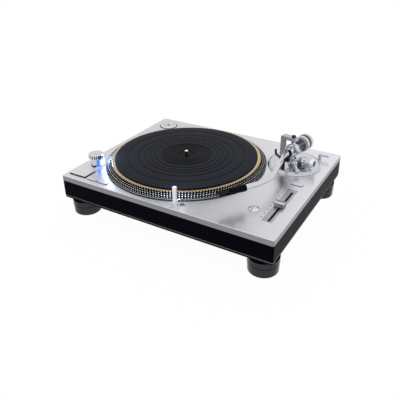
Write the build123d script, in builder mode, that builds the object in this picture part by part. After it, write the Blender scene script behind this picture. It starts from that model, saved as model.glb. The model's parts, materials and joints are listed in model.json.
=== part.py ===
from build123d import *
from math import cos, hypot, radians, sin, tan
import os

os.makedirs("parts", exist_ok=True)

# A direct-drive record player: a plinth on four screw feet, a strobe-rimmed platter on its motor,
# and an S-shaped tonearm in a gimbal on a height-adjustable base.
# All lengths are in millimetres. X points right, Y to the rear and Z up from the floor.

# Plinth
left_margin = 14.3
right_margin = 71.0
front_margin = 10.5
rear_margin = 15.5
body_corner_radius = 3.0
foot_height = 31.0
lower_base_height = 12.0
shell_height = 32.0
panel_thickness = 11.0
panel_edge_break = 0.6
underside_bevel = 11.0
shell_wall = 6.0
shell_floor = 3.0

# Feet
foot_radius = 28.4
foot_waist_radius = 27.0
foot_lower_radius = 27.9
foot_base_radius = 27.2
foot_waist_height = 18.6
foot_waist_gap = 1.4
foot_bottom_fillet = 4.0
foot_inset_x = 29.0
foot_inset_y = 30.5
foot_stud_radius = 3.0
foot_stud_length = 18.0

# Plinth screws
screw_radius = 1.5
screw_head_radius = 3.2
screw_head_height = 2.4
screw_engagement = 5.0
boss_radius = 5.0
foot_boss_radius = 6.0
screw_end_gap = 1.0
side_screw_inset = 13.5
side_screw_front = 104.0
side_screw_rear = 84.0
end_screw_inset = 13.0
end_screw_side = 136.5

# Clearances
fit_gap = 0.3
journal_gap = 0.05
hole_gap = 0.1
button_gap = 0.35

# Platter and motor
platter_radius = 166.0
platter_cone_width = 13.6
platter_rim_lift = 2.1
platter_rim_land = 1.1
platter_rim_wall = 16.0
platter_shoulder_height = 12.6
platter_web_low = 4.5
platter_web_high = 10.5
platter_hub_radius = 20.0
platter_hub_drop = 6.0
brass_gap = 0.9
brass_thickness = 2.0
mat_margin = 3.2
mat_thickness = 2.3
mat_label_radius = 50.0
mat_label_depth = 0.4
mat_edge_bevel = 0.8
damper_inner_gap = 4.0
damper_outer_gap = 1.0
damper_thickness = 2.2
spindle_radius = 3.6
spindle_height = 25.0
spindle_dome = 2.4
shaft_radius = 5.0
journal_radius = 4.0
journal_length = 25.0
magnet_inner_radius = 56.0
magnet_outer_radius = 88.0
magnet_thickness = 9.0
motor_air_gap = 0.5
coil_count = 9
coil_height = 3.0
coil_mean_radius = 72.0
coil_radial = 26.0
coil_across = 34.0
coil_window_radial = 12.0
coil_window_across = 14.0
stator_board_thickness = 1.6
stator_inner_radius = 24.0
stator_outer_radius = 90.0
bearing_radius = 9.0
bearing_floor = 4.0
flange_radius = 57.0
flange_thickness = 3.0
flange_seat_radius = 30.0
flange_seat_height = 3.4
pillar_count = 3
pillar_radius = 5.0
pillar_circle_radius = 48.0
well_overlap = 9.0

# Front controls
start_from_tower_x = -4.0
start_from_tower_y = -37.5
start_width = 40.0
start_depth = 33.0
speed_from_start = 39.5
speed_pitch = 24.5
speed_front = 15.0
speed_width = 23.0
speed_depth = 6.4
reset_side = 34.0
reset_from_slider = 83.1
reset_width = 20.4
reset_depth = 8.6
button_corner = 0.8
button_proud = 1.2
start_proud = 2.4
start_gap = 1.0
lamp_button_proud = 1.8
button_travel = 1.5
button_pocket_depth = 8.0
button_stem_radius = 2.2
lamp_button_from_lamp_x = 11.5
lamp_button_from_lamp_y = 4.6
lamp_button_radius = 5.0

# Power dial and strobe tower
tower_bearing = 216.1
tower_gap = 18.16
tower_radius = 14.4
tower_height = 19.5
dial_radius = 15.2
dial_height = 7.0
dial_flute_count = 24
dial_flute_radius = 0.7
dial_shaft_radius = 3.5
tower_spigot_radius = 11.0
tower_spigot_depth = 11.0
window_width = 14.0
window_height = 11.0
window_depth = 5.0
window_sill = 5.0
window_recess = 0.6
window_taper = 2.5

# Pop-up target lamp
lamp_from_platter = 78.5
lamp_front = 15.1
lamp_radius = 4.5
lamp_travel = 28.0
lamp_pressed_height = 8.0
lamp_tail = 7.0
lamp_sleeve_radius = 5.9
lamp_sleeve_drop = 20.0
lamp_flange_proud = 0.6
lamp_notch_low = 26.0
lamp_notch_high = 33.0
lamp_notch_depth = 3.4
lamp_lens_width = 4.4
lamp_lens_recess = 0.6
lamp_tip_round = 1.0

# Spare headshell socket
socket_side = 68.0
socket_front = 71.0
socket_radius = 11.0
socket_bore_radius = 9.0
socket_depth = 9.0
socket_floor = 2.0
cap_radius = 8.6
cap_rise = 3.0

# Pitch slider
slider_side = 33.3
slider_front = 106.0
slider_plate_width = 18.5
slider_plate_length = 122.0
slider_plate_thickness = 1.2
slider_plate_sink = 0.3
slider_slot_offset = 2.2
slider_travel = 50.0
slider_rest_offset = -3.5
slider_stem_width = 1.8
slider_stem_length = 6.0
slider_cap_width = 17.0
slider_cap_length = 15.0
slider_cap_height = 7.0
slider_cap_lift = 0.5
slider_slot_end_gap = 2.0
slider_cap_taper = 1.2
slider_groove_half = 2.0
slider_groove_depth = 1.6
pot_width = 13.0
pot_height = 14.0
pot_length = 122.0
pot_slot_depth = 9.0

# Centre adapter for large-hole records
adapter_side = 36.5
adapter_rear = 38.0
adapter_radius = 19.1
adapter_height = 10.5
adapter_recess_radius = 21.2
adapter_recess_depth = 7.0
adapter_bore_radius = 3.7
adapter_chamfer = 2.5

# Tonearm base, where the angle is the resting arm's direction seen from above
base_bearing = 24.636
base_gap = 1.4
pivot_from_base_x = -4.0
pivot_from_base_y = -3.1
arm_angle = -98.6
ring_radius = 54.5
ring_inner_radius = 50.6
ring_height = 5.5
ring_step = 1.8
ring_step_rise = 1.7
ring_edge_break = 1.0
arm_disc_radius = 50.0
arm_disc_height = 6.0
arm_disc_edge = 1.2
arm_sleeve_radius = 38.0
arm_sleeve_inner_radius = 30.0
arm_sleeve_engagement = 5.0
arm_height_travel = 6.0
axis_height = 33.0

# Gimbal
arch_half_width = 25.5
arch_end_wall = 3.5
arch_pillar = 6.0
arch_thickness = 13.0
arch_top = 60.0
arch_beam = 7.0
arch_edge_break = 1.5
carrier_half_width = 17.6
carrier_half_height = 17.0
carrier_wall = 5.0
carrier_thickness = 8.0
carrier_corner = 3.0
carrier_inner_corner = 2.0
pivot_pin_root = 1.0
pivot_pin_radius = 2.0
pivot_pin_bite = 3.0
pivot_screw_radius = 4.2
pivot_screw_proud = 3.6
pivot_slot_width = 1.0
pivot_slot_depth = 1.2
pivot_post_radius = 8.0
housing_radius = 8.4
housing_front = 19.0
housing_rear = 13.0
trunnion_radius = 1.8
trunnion_recess = 1.0
housing_edge_break = 0.8

# Arm tube, in the arm's own axes: along the arm, and across it towards the outside
tube_radius = 4.9
tube_wall = 0.9
tube_socket_depth = 12.0
tube_out_start = 32.0
tube_out_angle = 17.5
tube_out_radius = 60.0
tube_bend_share = 0.68
stylus_reach = 227.0
stylus_across = -4.0
head_angle = 24.0
collar_radius = 6.6
collar_length = 11.0
collar_back = 44.0
collar_gap = 0.3
collar_edge_break = 0.6
plug_radius = 4.0
plug_reach = 6.0

# Headshell, measured back along itself from where a stylus would stand
shell_back = 20.0
shell_front = 10.0
shell_plate = 2.2
shell_width = 18.0
shell_nose_width = 12.0
shell_nose_length = 16.0
shell_heel_cut = 3.0
shell_heel_length = 5.0
shell_corner = 1.2
shell_neck_radius = 6.2
shell_neck_length = 6.0
shell_drop = 1.5
shell_slot_spacing = 12.7
shell_slot_width = 2.6
shell_slot_length = 12.0
shell_slot_back = 7.0
lift_tab_back = 11.0
lift_tab_seat = 4.0
lift_tab_flat = 1.5
lift_tab_width = 5.0
lift_tab_thickness = 1.2
lift_tab_curl = 7.0
lift_tab_rise = 2.6

# Counterweight
rear_stub_radius = 5.5
rear_stub_end = 58.0
weight_travel_in = 4.0
dial_clearance = 11.0
dial_length = 7.0
force_dial_radius = 15.0
force_dial_bevel = 1.0
weight_radius = 16.5
weight_length = 22.0
weight_gap = 0.4
weight_bevel = 1.5
weight_hollow_radius = 10.5
weight_hollow_depth = 5.0

# Arm rest, cueing and side-force parts
rest_along = 40.5
rest_length = 7.0
rest_post_radius = 3.4
rest_wall = 2.2
rest_lip = 3.0
rest_gap = 0.4
rest_wall_gap = 1.1
clamp_length = 4.0
clamp_gap = 1.0
clamp_wall = 1.8
clamp_lug_radius = 3.0
clamp_pin_radius = 1.2
clamp_hinge_rise = 0.5
clamp_open_angle = 80.0
clamp_start_angle = 10.0
clamp_wrap = 140.0
clamp_slot_margin = 0.5
lift_bar_radius = 34.0
lift_bar_width = 4.0
lift_bar_thickness = 2.6
lift_bar_outer_angle = 12.0
lift_bar_inner_angle = 56.0
lift_hook_angle = 4.0
lift_bar_gap = 0.5
lift_hook_height = 9.0
lift_travel = 5.0
lift_post_radius = 2.6
lift_post_angle = 14.0
lift_guide_radius = 5.2
lift_guide_height = 10.0
lift_guide_end_gap = 0.5
lift_post_engaged = 7.5
cue_pivot_along = 19.0
cue_pivot_across = 15.0
cue_pivot_height = 15.0
cue_direction = 44.0
cue_length = 27.0
cue_lever_width = 4.4
cue_lever_thickness = 2.6
cue_lever_droop = 4.0
cue_knob_radius = 3.2
cue_knob_length = 7.0
cue_pin_radius = 1.8
cue_ear = 3.0
side_dial_radius = 8.5
side_dial_length = 7.0
side_dial_across = 44.0
side_dial_along = 4.0
side_dial_height = 18.0
side_housing_radius = 7.0
side_shaft_radius = 2.5
side_shaft_length = 12.0
side_dial_round = 0.8

# Height lock lever
lock_angle = 52.0
lock_reach = 61.5
lock_post_radius = 3.6
lock_post_height = 8.0
lock_lever_length = 17.0
lock_lever_width = 4.6
lock_pin_radius = 1.8
lock_lever_thickness = 2.6

# Boards inside
board_thickness = 1.6
board_standoff = 4.0
standoff_radius = 3.0
standoff_inset = 5.0
control_side = 61.5
control_from_platter = 7.5
control_width = 70.0
control_depth = 170.0
supply_from_terminal = -80.0
supply_rear = 63.0
supply_width = 76.0
supply_depth = 86.0
transformer_size = 34.0
transformer_height = 18.0
capacitor_radius = 6.0
capacitor_height = 16.0
chip_size = 16.0
chip_height = 2.4

# Rear connectors
terminal_side = 84.5
terminal_width = 62.0
terminal_height = 24.0
terminal_depth = 26.0
tray_wall = 2.0
terminal_rise = 4.0
jack_radius = 4.15
jack_bore_radius = 1.6
jack_length = 9.0
jack_flange_radius = 5.6
jack_flange_thickness = 1.6
jack_spacing = 15.0
earth_radius = 3.0
earth_nut_radius = 4.6
inlet_side = 76.5
inlet_width = 34.0
inlet_height = 24.0
inlet_depth = 22.0
inlet_cavity_width = 24.6
inlet_cavity_height = 16.6
inlet_cavity_depth = 15.0
blade_width = 2.0
blade_height = 4.0
blade_length = 11.0
blade_pitch = 7.0
blade_rise = 2.5

# Places worked out from the platter outwards, with the origin at the middle of the plinth
base_reach = platter_radius + base_gap + ring_radius
base_from_platter_x = base_reach * cos(radians(base_bearing))
base_from_platter_y = base_reach * sin(radians(base_bearing))
body_width = left_margin + platter_radius + base_from_platter_x + right_margin
body_depth = front_margin + 2 * platter_radius + rear_margin
half_width = body_width / 2
half_depth = body_depth / 2
platter_x = left_margin + platter_radius - half_width
platter_y = front_margin + platter_radius - half_depth
base_x = platter_x + base_from_platter_x
base_y = platter_y + base_from_platter_y
pivot_x = base_x + pivot_from_base_x
pivot_y = base_y + pivot_from_base_y
tower_reach = platter_radius + tower_gap
tower_x = platter_x + tower_reach * cos(radians(tower_bearing))
tower_y = platter_y + tower_reach * sin(radians(tower_bearing))
start_x = tower_x + start_from_tower_x
start_y = tower_y + start_from_tower_y
speed_left_x = start_x + speed_from_start
speed_right_x = speed_left_x + speed_pitch
speed_y = speed_front - half_depth
lamp_x = platter_x + lamp_from_platter
lamp_y = lamp_front - half_depth
lamp_button_x = lamp_x + lamp_button_from_lamp_x
lamp_button_y = lamp_y + lamp_button_from_lamp_y
socket_x = half_width - socket_side
socket_y = socket_front - half_depth
slider_x = half_width - slider_side
slider_y = slider_front - half_depth
slider_rest_y = slider_y + slider_rest_offset
reset_x = half_width - reset_side
reset_y = slider_y + reset_from_slider
adapter_x = adapter_side - half_width
adapter_y = half_depth - adapter_rear
terminal_x = half_width - terminal_side
inlet_x = inlet_side - half_width
control_x = control_side - half_width
control_y = platter_y + control_from_platter
supply_x = terminal_x + supply_from_terminal
supply_y = half_depth - supply_rear

# Radii worked out from the platter's
platter_shoulder_radius = platter_radius - platter_cone_width
platter_rim_inner_radius = platter_radius - platter_rim_wall
brass_radius = platter_shoulder_radius - brass_gap
mat_radius = brass_radius - mat_margin
well_radius = platter_radius - well_overlap
damper_inner_radius = magnet_outer_radius + damper_inner_gap
damper_outer_radius = platter_rim_inner_radius - damper_outer_gap

# Levels worked out from the sizes above
lower_z = foot_height
shell_z = lower_z + lower_base_height
panel_z = shell_z + shell_height
top_z = panel_z + panel_thickness
floor_z = shell_z + shell_floor
magnet_z = top_z + platter_web_low - magnet_thickness
coil_z = magnet_z - motor_air_gap - coil_height
stator_z = coil_z - stator_board_thickness
flange_z = stator_z - flange_seat_height - flange_thickness
lamp_height = lamp_travel + lamp_pressed_height
arm_sleeve_drop = panel_thickness + arm_height_travel + arm_sleeve_engagement
lift_guide_depth = lift_post_engaged + lift_travel + lift_guide_end_gap
dial_front = housing_rear + weight_travel_in + dial_clearance

foot_places = [
    (sx * (half_width - foot_inset_x), sy * (half_depth - foot_inset_y))
    for sx in (-1, 1)
    for sy in (-1, 1)
]
screw_places = [
    (sx * (half_width - side_screw_inset), y)
    for sx in (-1, 1)
    for y in (side_screw_front - half_depth, half_depth - side_screw_rear)
] + [
    (sx * (half_width - end_screw_side), sy * (half_depth - end_screw_inset))
    for sx in (-1, 1)
    for sy in (-1, 1)
]

arm_along = Vector(cos(radians(arm_angle)), sin(radians(arm_angle)), 0)
arm_across = Vector(-arm_along.Y, arm_along.X, 0)


def upright(x, y):
    """A plane for profiles turned about a vertical axis: radius across, height up."""
    return Plane(origin=(x, y, 0), x_dir=(1, 0, 0), z_dir=(0, -1, 0))


def vertical_axis(x, y):
    return Axis((x, y, 0), (0, 0, 1))


def arm_point(along, across, height):
    """A point in the resting arm's axes, its height taken above the panel."""
    spot = Vector(pivot_x, pivot_y, top_z + height) + arm_along * along + arm_across * across
    return (spot.X, spot.Y, spot.Z)


def arm_level(height, along=0, across=0):
    """A level plane whose x runs along the resting arm."""
    return Plane(origin=arm_point(along, across, height), x_dir=arm_along, z_dir=(0, 0, 1))


def arm_section(along, across=0, height=None):
    """A plane across the arm, x outwards and y up, its normal forwards to the headshell."""
    level = axis_height if height is None else height
    return Plane(origin=arm_point(along, across, level), x_dir=arm_across, z_dir=arm_along)


def arm_side(across, along=0, height=None):
    """A plane seen from the outside of the arm, its normal pointing outwards."""
    level = axis_height if height is None else height
    return Plane(origin=arm_point(along, across, level), x_dir=-arm_along, z_dir=arm_across)


# Top panel: a thick brushed slab, bored and pocketed for everything that stands in it
with BuildPart() as top_panel:
    with BuildSketch(Plane.XY.offset(panel_z)):
        RectangleRounded(body_width, body_depth, body_corner_radius)
    extrude(amount=panel_thickness)
    chamfer(top_panel.faces().sort_by(Axis.Z)[-1].edges(), panel_edge_break)
    with BuildSketch(Plane.XY.offset(panel_z)):
        with Locations((platter_x, platter_y)):
            Circle(well_radius)
        with Locations((base_x, base_y)):
            Circle(arm_sleeve_radius + fit_gap)
        with Locations((lamp_x, lamp_y)):
            Circle(lamp_sleeve_radius)
        with Locations((tower_x, tower_y)):
            Circle(tower_spigot_radius)
        with Locations((slider_x + slider_slot_offset, slider_rest_y)):
            Rectangle(
                slider_stem_width + 2 * slider_slot_end_gap,
                2 * (slider_travel + slider_slot_end_gap) + slider_stem_length,
            )
        with Locations(
            (start_x, start_y),
            (speed_left_x, speed_y),
            (speed_right_x, speed_y),
            (reset_x, reset_y),
            (lamp_button_x, lamp_button_y),
        ):
            Circle(button_stem_radius + fit_gap)
    extrude(amount=panel_thickness, mode=Mode.SUBTRACT)
    with BuildSketch(Plane.XY.offset(top_z)):
        pocket_corner = button_corner + button_gap
        with Locations((start_x, start_y)):
            RectangleRounded(start_width + 2 * start_gap, start_depth + 2 * start_gap, pocket_corner)
        with Locations((speed_left_x, speed_y), (speed_right_x, speed_y)):
            RectangleRounded(speed_width + 2 * button_gap, speed_depth + 2 * button_gap, pocket_corner)
        with Locations((reset_x, reset_y)):
            RectangleRounded(reset_width + 2 * button_gap, reset_depth + 2 * button_gap, pocket_corner)
        with Locations((lamp_button_x, lamp_button_y)):
            Circle(lamp_button_radius + button_gap)
    extrude(amount=-button_pocket_depth, mode=Mode.SUBTRACT)
    with BuildSketch(Plane.XY.offset(top_z)):
        with Locations((slider_x, slider_y)):
            RectangleRounded(
                slider_plate_width + 2 * hole_gap, slider_plate_length + 2 * hole_gap, button_corner
            )
    extrude(amount=-slider_plate_thickness - slider_plate_sink, mode=Mode.SUBTRACT)
    with BuildSketch(Plane.XY.offset(top_z)):
        with Locations((adapter_x, adapter_y)):
            Circle(adapter_recess_radius)
    extrude(amount=-adapter_recess_depth, mode=Mode.SUBTRACT)
    with BuildSketch(Plane.XY.offset(top_z)):
        with Locations((socket_x, socket_y)):
            Circle(socket_radius)
    extrude(amount=-socket_depth, mode=Mode.SUBTRACT)
    with BuildSketch(Plane.XY.offset(panel_z)):
        with Locations(*screw_places):
            Circle(screw_radius + hole_gap)
    extrude(amount=screw_engagement + screw_end_gap, mode=Mode.SUBTRACT)
top_panel.part.label = "top_panel"
export_step(top_panel.part, "parts/top_panel.step")

# Base shell: the black side walls and inner floor, with screw bosses, motor pillars and standoffs
terminal_z = floor_z + terminal_rise
board_corners = [
    (x + sx * (w / 2 - standoff_inset), y + sy * (d / 2 - standoff_inset))
    for x, y, w, d in (
        (control_x, control_y, control_width, control_depth),
        (supply_x, supply_y, supply_width, supply_depth),
    )
    for sx in (-1, 1)
    for sy in (-1, 1)
]
with BuildPart() as base_shell:
    with BuildSketch(Plane.XY.offset(shell_z)):
        RectangleRounded(body_width, body_depth, body_corner_radius)
    extrude(amount=shell_height)
    with BuildSketch(Plane.XY.offset(floor_z)):
        Rectangle(body_width - 2 * shell_wall, body_depth - 2 * shell_wall)
    extrude(amount=shell_height - shell_floor, mode=Mode.SUBTRACT)
    with BuildSketch(Plane.XY.offset(floor_z)):
        with Locations(*screw_places):
            Circle(boss_radius)
    extrude(amount=shell_height - shell_floor)
    with BuildSketch(Plane.XY.offset(floor_z)):
        with Locations((platter_x, platter_y)):
            with PolarLocations(pillar_circle_radius, pillar_count, start_angle=90):
                Circle(pillar_radius)
    extrude(amount=flange_z - floor_z)
    with BuildSketch(Plane.XY.offset(floor_z)):
        with Locations(*board_corners):
            Circle(standoff_radius)
    extrude(amount=board_standoff)
    with BuildSketch(Plane.XY.offset(floor_z)):
        with Locations(*foot_places):
            Circle(foot_boss_radius)
    extrude(amount=foot_stud_length - lower_base_height)
    with BuildSketch(Plane.XY.offset(shell_z)):
        with Locations(*screw_places):
            Circle(screw_radius + hole_gap)
    extrude(amount=shell_height, mode=Mode.SUBTRACT)
    with BuildSketch(Plane.XY.offset(shell_z)):
        with Locations(*foot_places):
            Circle(foot_stud_radius + fit_gap)
    extrude(amount=shell_height, mode=Mode.SUBTRACT)
    with BuildSketch(Plane.XZ.offset(-half_depth)):
        with Locations((terminal_x, terminal_z + terminal_height / 2)):
            Rectangle(terminal_width, terminal_height)
        with Locations((inlet_x, terminal_z + inlet_height / 2)):
            Rectangle(inlet_width, inlet_height)
    extrude(amount=shell_wall, mode=Mode.SUBTRACT)
base_shell.part.label = "base_shell"
export_step(base_shell.part, "parts/base_shell.step")

# Lower base: the heavy bottom slab, bevelled all round its underside
with BuildPart() as lower_base:
    with BuildSketch(Plane.XY.offset(lower_z)):
        RectangleRounded(
            body_width - 2 * underside_bevel, body_depth - 2 * underside_bevel, body_corner_radius
        )
    with BuildSketch(Plane.XY.offset(lower_z + underside_bevel)):
        RectangleRounded(body_width, body_depth, body_corner_radius)
    loft(ruled=True)
    with BuildSketch(Plane.XY.offset(lower_z + underside_bevel)):
        RectangleRounded(body_width, body_depth, body_corner_radius)
    extrude(amount=lower_base_height - underside_bevel)
    with BuildSketch(Plane.XY.offset(lower_z)):
        with Locations(*screw_places):
            Circle(screw_head_radius + 2 * hole_gap)
    extrude(amount=screw_head_height, mode=Mode.SUBTRACT)
    with BuildSketch(Plane.XY.offset(lower_z)):
        with Locations(*screw_places):
            Circle(screw_radius + hole_gap)
        with Locations(*foot_places):
            Circle(foot_stud_radius + fit_gap)
    extrude(amount=lower_base_height, mode=Mode.SUBTRACT)
lower_base.part.label = "lower_base"
export_step(lower_base.part, "parts/lower_base.step")

# Plinth screws: long screws from below that clamp the lower base, shell and panel together
with BuildPart() as plinth_screws:
    with BuildSketch(Plane.XY.offset(lower_z)):
        with Locations(*screw_places):
            Circle(screw_head_radius)
    extrude(amount=screw_head_height)
    with BuildSketch(Plane.XY.offset(lower_z + screw_head_height)):
        with Locations(*screw_places):
            Circle(screw_radius)
    extrude(amount=panel_z + screw_engagement - lower_z - screw_head_height)
plinth_screws.part.label = "plinth_screws"
export_step(plinth_screws.part, "parts/plinth_screws.step")

# Feet: turned housings with a waist groove, a rounded heel and a threaded stud
foot_names = ["foot_front_left", "foot_rear_left", "foot_front_right", "foot_rear_right"]
for foot_name, (foot_x, foot_y) in zip(foot_names, foot_places):
    with BuildPart() as foot:
        with BuildSketch(upright(foot_x, foot_y)):
            with BuildLine():
                Polyline(
                    (0, 0),
                    (foot_base_radius, 0),
                    (foot_lower_radius, foot_waist_height),
                    (foot_waist_radius, foot_waist_height),
                    (foot_waist_radius, foot_waist_height + foot_waist_gap),
                    (foot_radius, foot_waist_height + foot_waist_gap),
                    (foot_radius, foot_height),
                    (foot_stud_radius, foot_height),
                    (foot_stud_radius, foot_height + foot_stud_length),
                    (0, foot_height + foot_stud_length),
                    close=True,
                )
            make_face()
        revolve(axis=vertical_axis(foot_x, foot_y))
        fillet(foot.edges().filter_by(GeomType.CIRCLE).sort_by(Axis.Z)[0], foot_bottom_fillet)
    foot.part.label = foot_name
    export_step(foot.part, f"parts/{foot_name}.step")

# Platter: a turned casting with a sloping strobe rim, a thin web and a deep hub
with BuildPart() as platter:
    with BuildSketch(upright(platter_x, platter_y)):
        with BuildLine():
            Polyline(
                (shaft_radius + journal_gap, top_z - platter_hub_drop),
                (platter_hub_radius, top_z - platter_hub_drop),
                (platter_hub_radius, top_z + platter_web_low),
                (platter_rim_inner_radius, top_z + platter_web_low),
                (platter_rim_inner_radius, top_z + platter_rim_lift),
                (platter_radius, top_z + platter_rim_lift),
                (platter_radius, top_z + platter_rim_lift + platter_rim_land),
                (platter_shoulder_radius, top_z + platter_shoulder_height),
                (brass_radius + hole_gap, top_z + platter_shoulder_height),
                (brass_radius + hole_gap, top_z + platter_web_high),
                (shaft_radius + journal_gap, top_z + platter_web_high),
                close=True,
            )
        make_face()
    revolve(axis=vertical_axis(platter_x, platter_y))
platter.part.label = "platter"
export_step(platter.part, "parts/platter.step")

# Brass plate: the heavy disc let into the platter, seen as a gold ring round the mat
brass_z = top_z + platter_web_high
with BuildPart() as brass_plate:
    with BuildSketch(Plane.XY.offset(brass_z)):
        with Locations((platter_x, platter_y)):
            Circle(brass_radius)
            Circle(shaft_radius + journal_gap, mode=Mode.SUBTRACT)
    extrude(amount=brass_thickness)
brass_plate.part.label = "brass_plate"
export_step(brass_plate.part, "parts/brass_plate.step")

# Platter damper: the rubber ring bonded under the web
with BuildPart() as platter_damper:
    with BuildSketch(Plane.XY.offset(top_z + platter_web_low - damper_thickness)):
        with Locations((platter_x, platter_y)):
            Circle(damper_outer_radius)
            Circle(damper_inner_radius, mode=Mode.SUBTRACT)
    extrude(amount=damper_thickness)
platter_damper.part.label = "platter_damper"
export_step(platter_damper.part, "parts/platter_damper.step")

# Mat: a rubber disc with a bevelled rim and a shallow label recess
mat_z = brass_z + brass_thickness
mat_top = mat_z + mat_thickness
with BuildPart() as platter_mat:
    with BuildSketch(upright(platter_x, platter_y)):
        with BuildLine():
            Polyline(
                (shaft_radius + hole_gap, mat_z),
                (mat_radius, mat_z),
                (mat_radius, mat_top - mat_edge_bevel),
                (mat_radius - mat_edge_bevel, mat_top),
                (mat_label_radius, mat_top),
                (mat_label_radius, mat_top - mat_label_depth),
                (shaft_radius + hole_gap, mat_top - mat_label_depth),
                close=True,
            )
        make_face()
    revolve(axis=vertical_axis(platter_x, platter_y))
platter_mat.part.label = "platter_mat"
export_step(platter_mat.part, "parts/platter_mat.step")

# Spindle shaft: the record spindle, the hub seat and the bearing journal in one turned piece
journal_top = top_z - platter_hub_drop
spindle_base = mat_top - mat_label_depth
with BuildPart() as spindle_shaft:
    with BuildSketch(upright(platter_x, platter_y)):
        with BuildLine():
            Polyline(
                (0, journal_top - journal_length),
                (journal_radius, journal_top - journal_length),
                (journal_radius, journal_top),
                (shaft_radius, journal_top),
                (shaft_radius, spindle_base),
                (spindle_radius, spindle_base),
                (spindle_radius, top_z + spindle_height - spindle_dome),
                (0, top_z + spindle_height),
                close=True,
            )
        make_face()
    revolve(axis=vertical_axis(platter_x, platter_y))
spindle_shaft.part.label = "spindle_shaft"
export_step(spindle_shaft.part, "parts/spindle_shaft.step")

# Rotor magnet: the ring fixed under the web, over the coils
with BuildPart() as rotor_magnet:
    with BuildSketch(Plane.XY.offset(magnet_z)):
        with Locations((platter_x, platter_y)):
            Circle(magnet_outer_radius)
            Circle(magnet_inner_radius, mode=Mode.SUBTRACT)
    extrude(amount=magnet_thickness)
rotor_magnet.part.label = "rotor_magnet"
export_step(rotor_magnet.part, "parts/rotor_magnet.step")

# Stator: a round board with flat coils in a circle, just under the magnet
with BuildPart() as stator_coils:
    with BuildSketch(Plane.XY.offset(stator_z)):
        with Locations((platter_x, platter_y)):
            Circle(stator_outer_radius)
            Circle(stator_inner_radius, mode=Mode.SUBTRACT)
    extrude(amount=stator_board_thickness)
    with BuildSketch(Plane.XY.offset(coil_z)):
        with Locations((platter_x, platter_y)):
            with PolarLocations(coil_mean_radius, coil_count):
                Rectangle(coil_radial, coil_across)
                Rectangle(coil_window_radial, coil_window_across, mode=Mode.SUBTRACT)
    extrude(amount=coil_height)
stator_coils.part.label = "stator_coils"
export_step(stator_coils.part, "parts/stator_coils.step")

# Bearing housing: the oil-filled spindle bearing on a flange that carries the stator
bearing_bottom = journal_top - journal_length - fit_gap - bearing_floor
with BuildPart() as bearing_housing:
    with BuildSketch(upright(platter_x, platter_y)):
        with BuildLine():
            Polyline(
                (0, bearing_bottom),
                (bearing_radius, bearing_bottom),
                (bearing_radius, flange_z),
                (flange_radius, flange_z),
                (flange_radius, flange_z + flange_thickness),
                (flange_seat_radius, flange_z + flange_thickness),
                (flange_seat_radius, stator_z),
                (stator_inner_radius, stator_z),
                (stator_inner_radius, flange_z + flange_thickness),
                (bearing_radius, flange_z + flange_thickness),
                (bearing_radius, journal_top - fit_gap),
                (journal_radius + journal_gap, journal_top - fit_gap),
                (journal_radius + journal_gap, bearing_bottom + bearing_floor),
                (0, bearing_bottom + bearing_floor),
                close=True,
            )
        make_face()
    revolve(axis=vertical_axis(platter_x, platter_y))
bearing_housing.part.label = "bearing_housing"
export_step(bearing_housing.part, "parts/bearing_housing.step")

# Control board: the drive circuit on standoffs at the left
board_z = floor_z + board_standoff
with BuildPart() as control_board:
    with BuildSketch(Plane.XY.offset(board_z)):
        with Locations((control_x, control_y)):
            Rectangle(control_width, control_depth)
    extrude(amount=board_thickness)
    with BuildSketch(Plane.XY.offset(board_z + board_thickness)):
        with Locations((control_x, control_y)):
            with GridLocations(control_width / 2, control_depth / 4, 2, 4):
                Rectangle(chip_size, chip_size)
    extrude(amount=chip_height)
control_board.part.label = "control_board"
export_step(control_board.part, "parts/control_board.step")

# Power supply board: transformer and reservoir capacitors at the rear
with BuildPart() as power_supply_board:
    with BuildSketch(Plane.XY.offset(board_z)):
        with Locations((supply_x, supply_y)):
            Rectangle(supply_width, supply_depth)
    extrude(amount=board_thickness)
    with BuildSketch(Plane.XY.offset(board_z + board_thickness)):
        with Locations((supply_x, supply_y + supply_depth / 5)):
            Rectangle(transformer_size, transformer_size)
    extrude(amount=transformer_height)
    with BuildSketch(Plane.XY.offset(board_z + board_thickness)):
        with Locations((supply_x, supply_y - supply_depth / 4)):
            with GridLocations(4 * capacitor_radius, 0, 2, 1):
                Circle(capacitor_radius)
    extrude(amount=capacitor_height)
power_supply_board.part.label = "power_supply_board"
export_step(power_supply_board.part, "parts/power_supply_board.step")


def plate_button(x, y, width, depth, proud):
    """A flat rectangular key in its pocket, with a stem down to its switch."""
    low = top_z - button_pocket_depth + button_travel + fit_gap
    with BuildPart() as key:
        with BuildSketch(Plane.XY.offset(low)):
            with Locations((x, y)):
                RectangleRounded(width, depth, button_corner)
        extrude(amount=top_z + proud - low)
        chamfer(key.faces().sort_by(Axis.Z)[-1].edges(), button_corner / 3)
        with BuildSketch(Plane.XY.offset(panel_z)):
            with Locations((x, y)):
                Circle(button_stem_radius)
        extrude(amount=low - panel_z)
    return key


start_stop_button = plate_button(start_x, start_y, start_width, start_depth, start_proud)
start_stop_button.part.label = "start_stop_button"
export_step(start_stop_button.part, "parts/start_stop_button.step")

speed_button_33 = plate_button(speed_left_x, speed_y, speed_width, speed_depth, button_proud)
speed_button_33.part.label = "speed_button_33"
export_step(speed_button_33.part, "parts/speed_button_33.step")

speed_button_45 = plate_button(speed_right_x, speed_y, speed_width, speed_depth, button_proud)
speed_button_45.part.label = "speed_button_45"
export_step(speed_button_45.part, "parts/speed_button_45.step")

reset_button = plate_button(reset_x, reset_y, reset_width, reset_depth, button_proud)
reset_button.part.label = "reset_button"
export_step(reset_button.part, "parts/reset_button.step")

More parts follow.
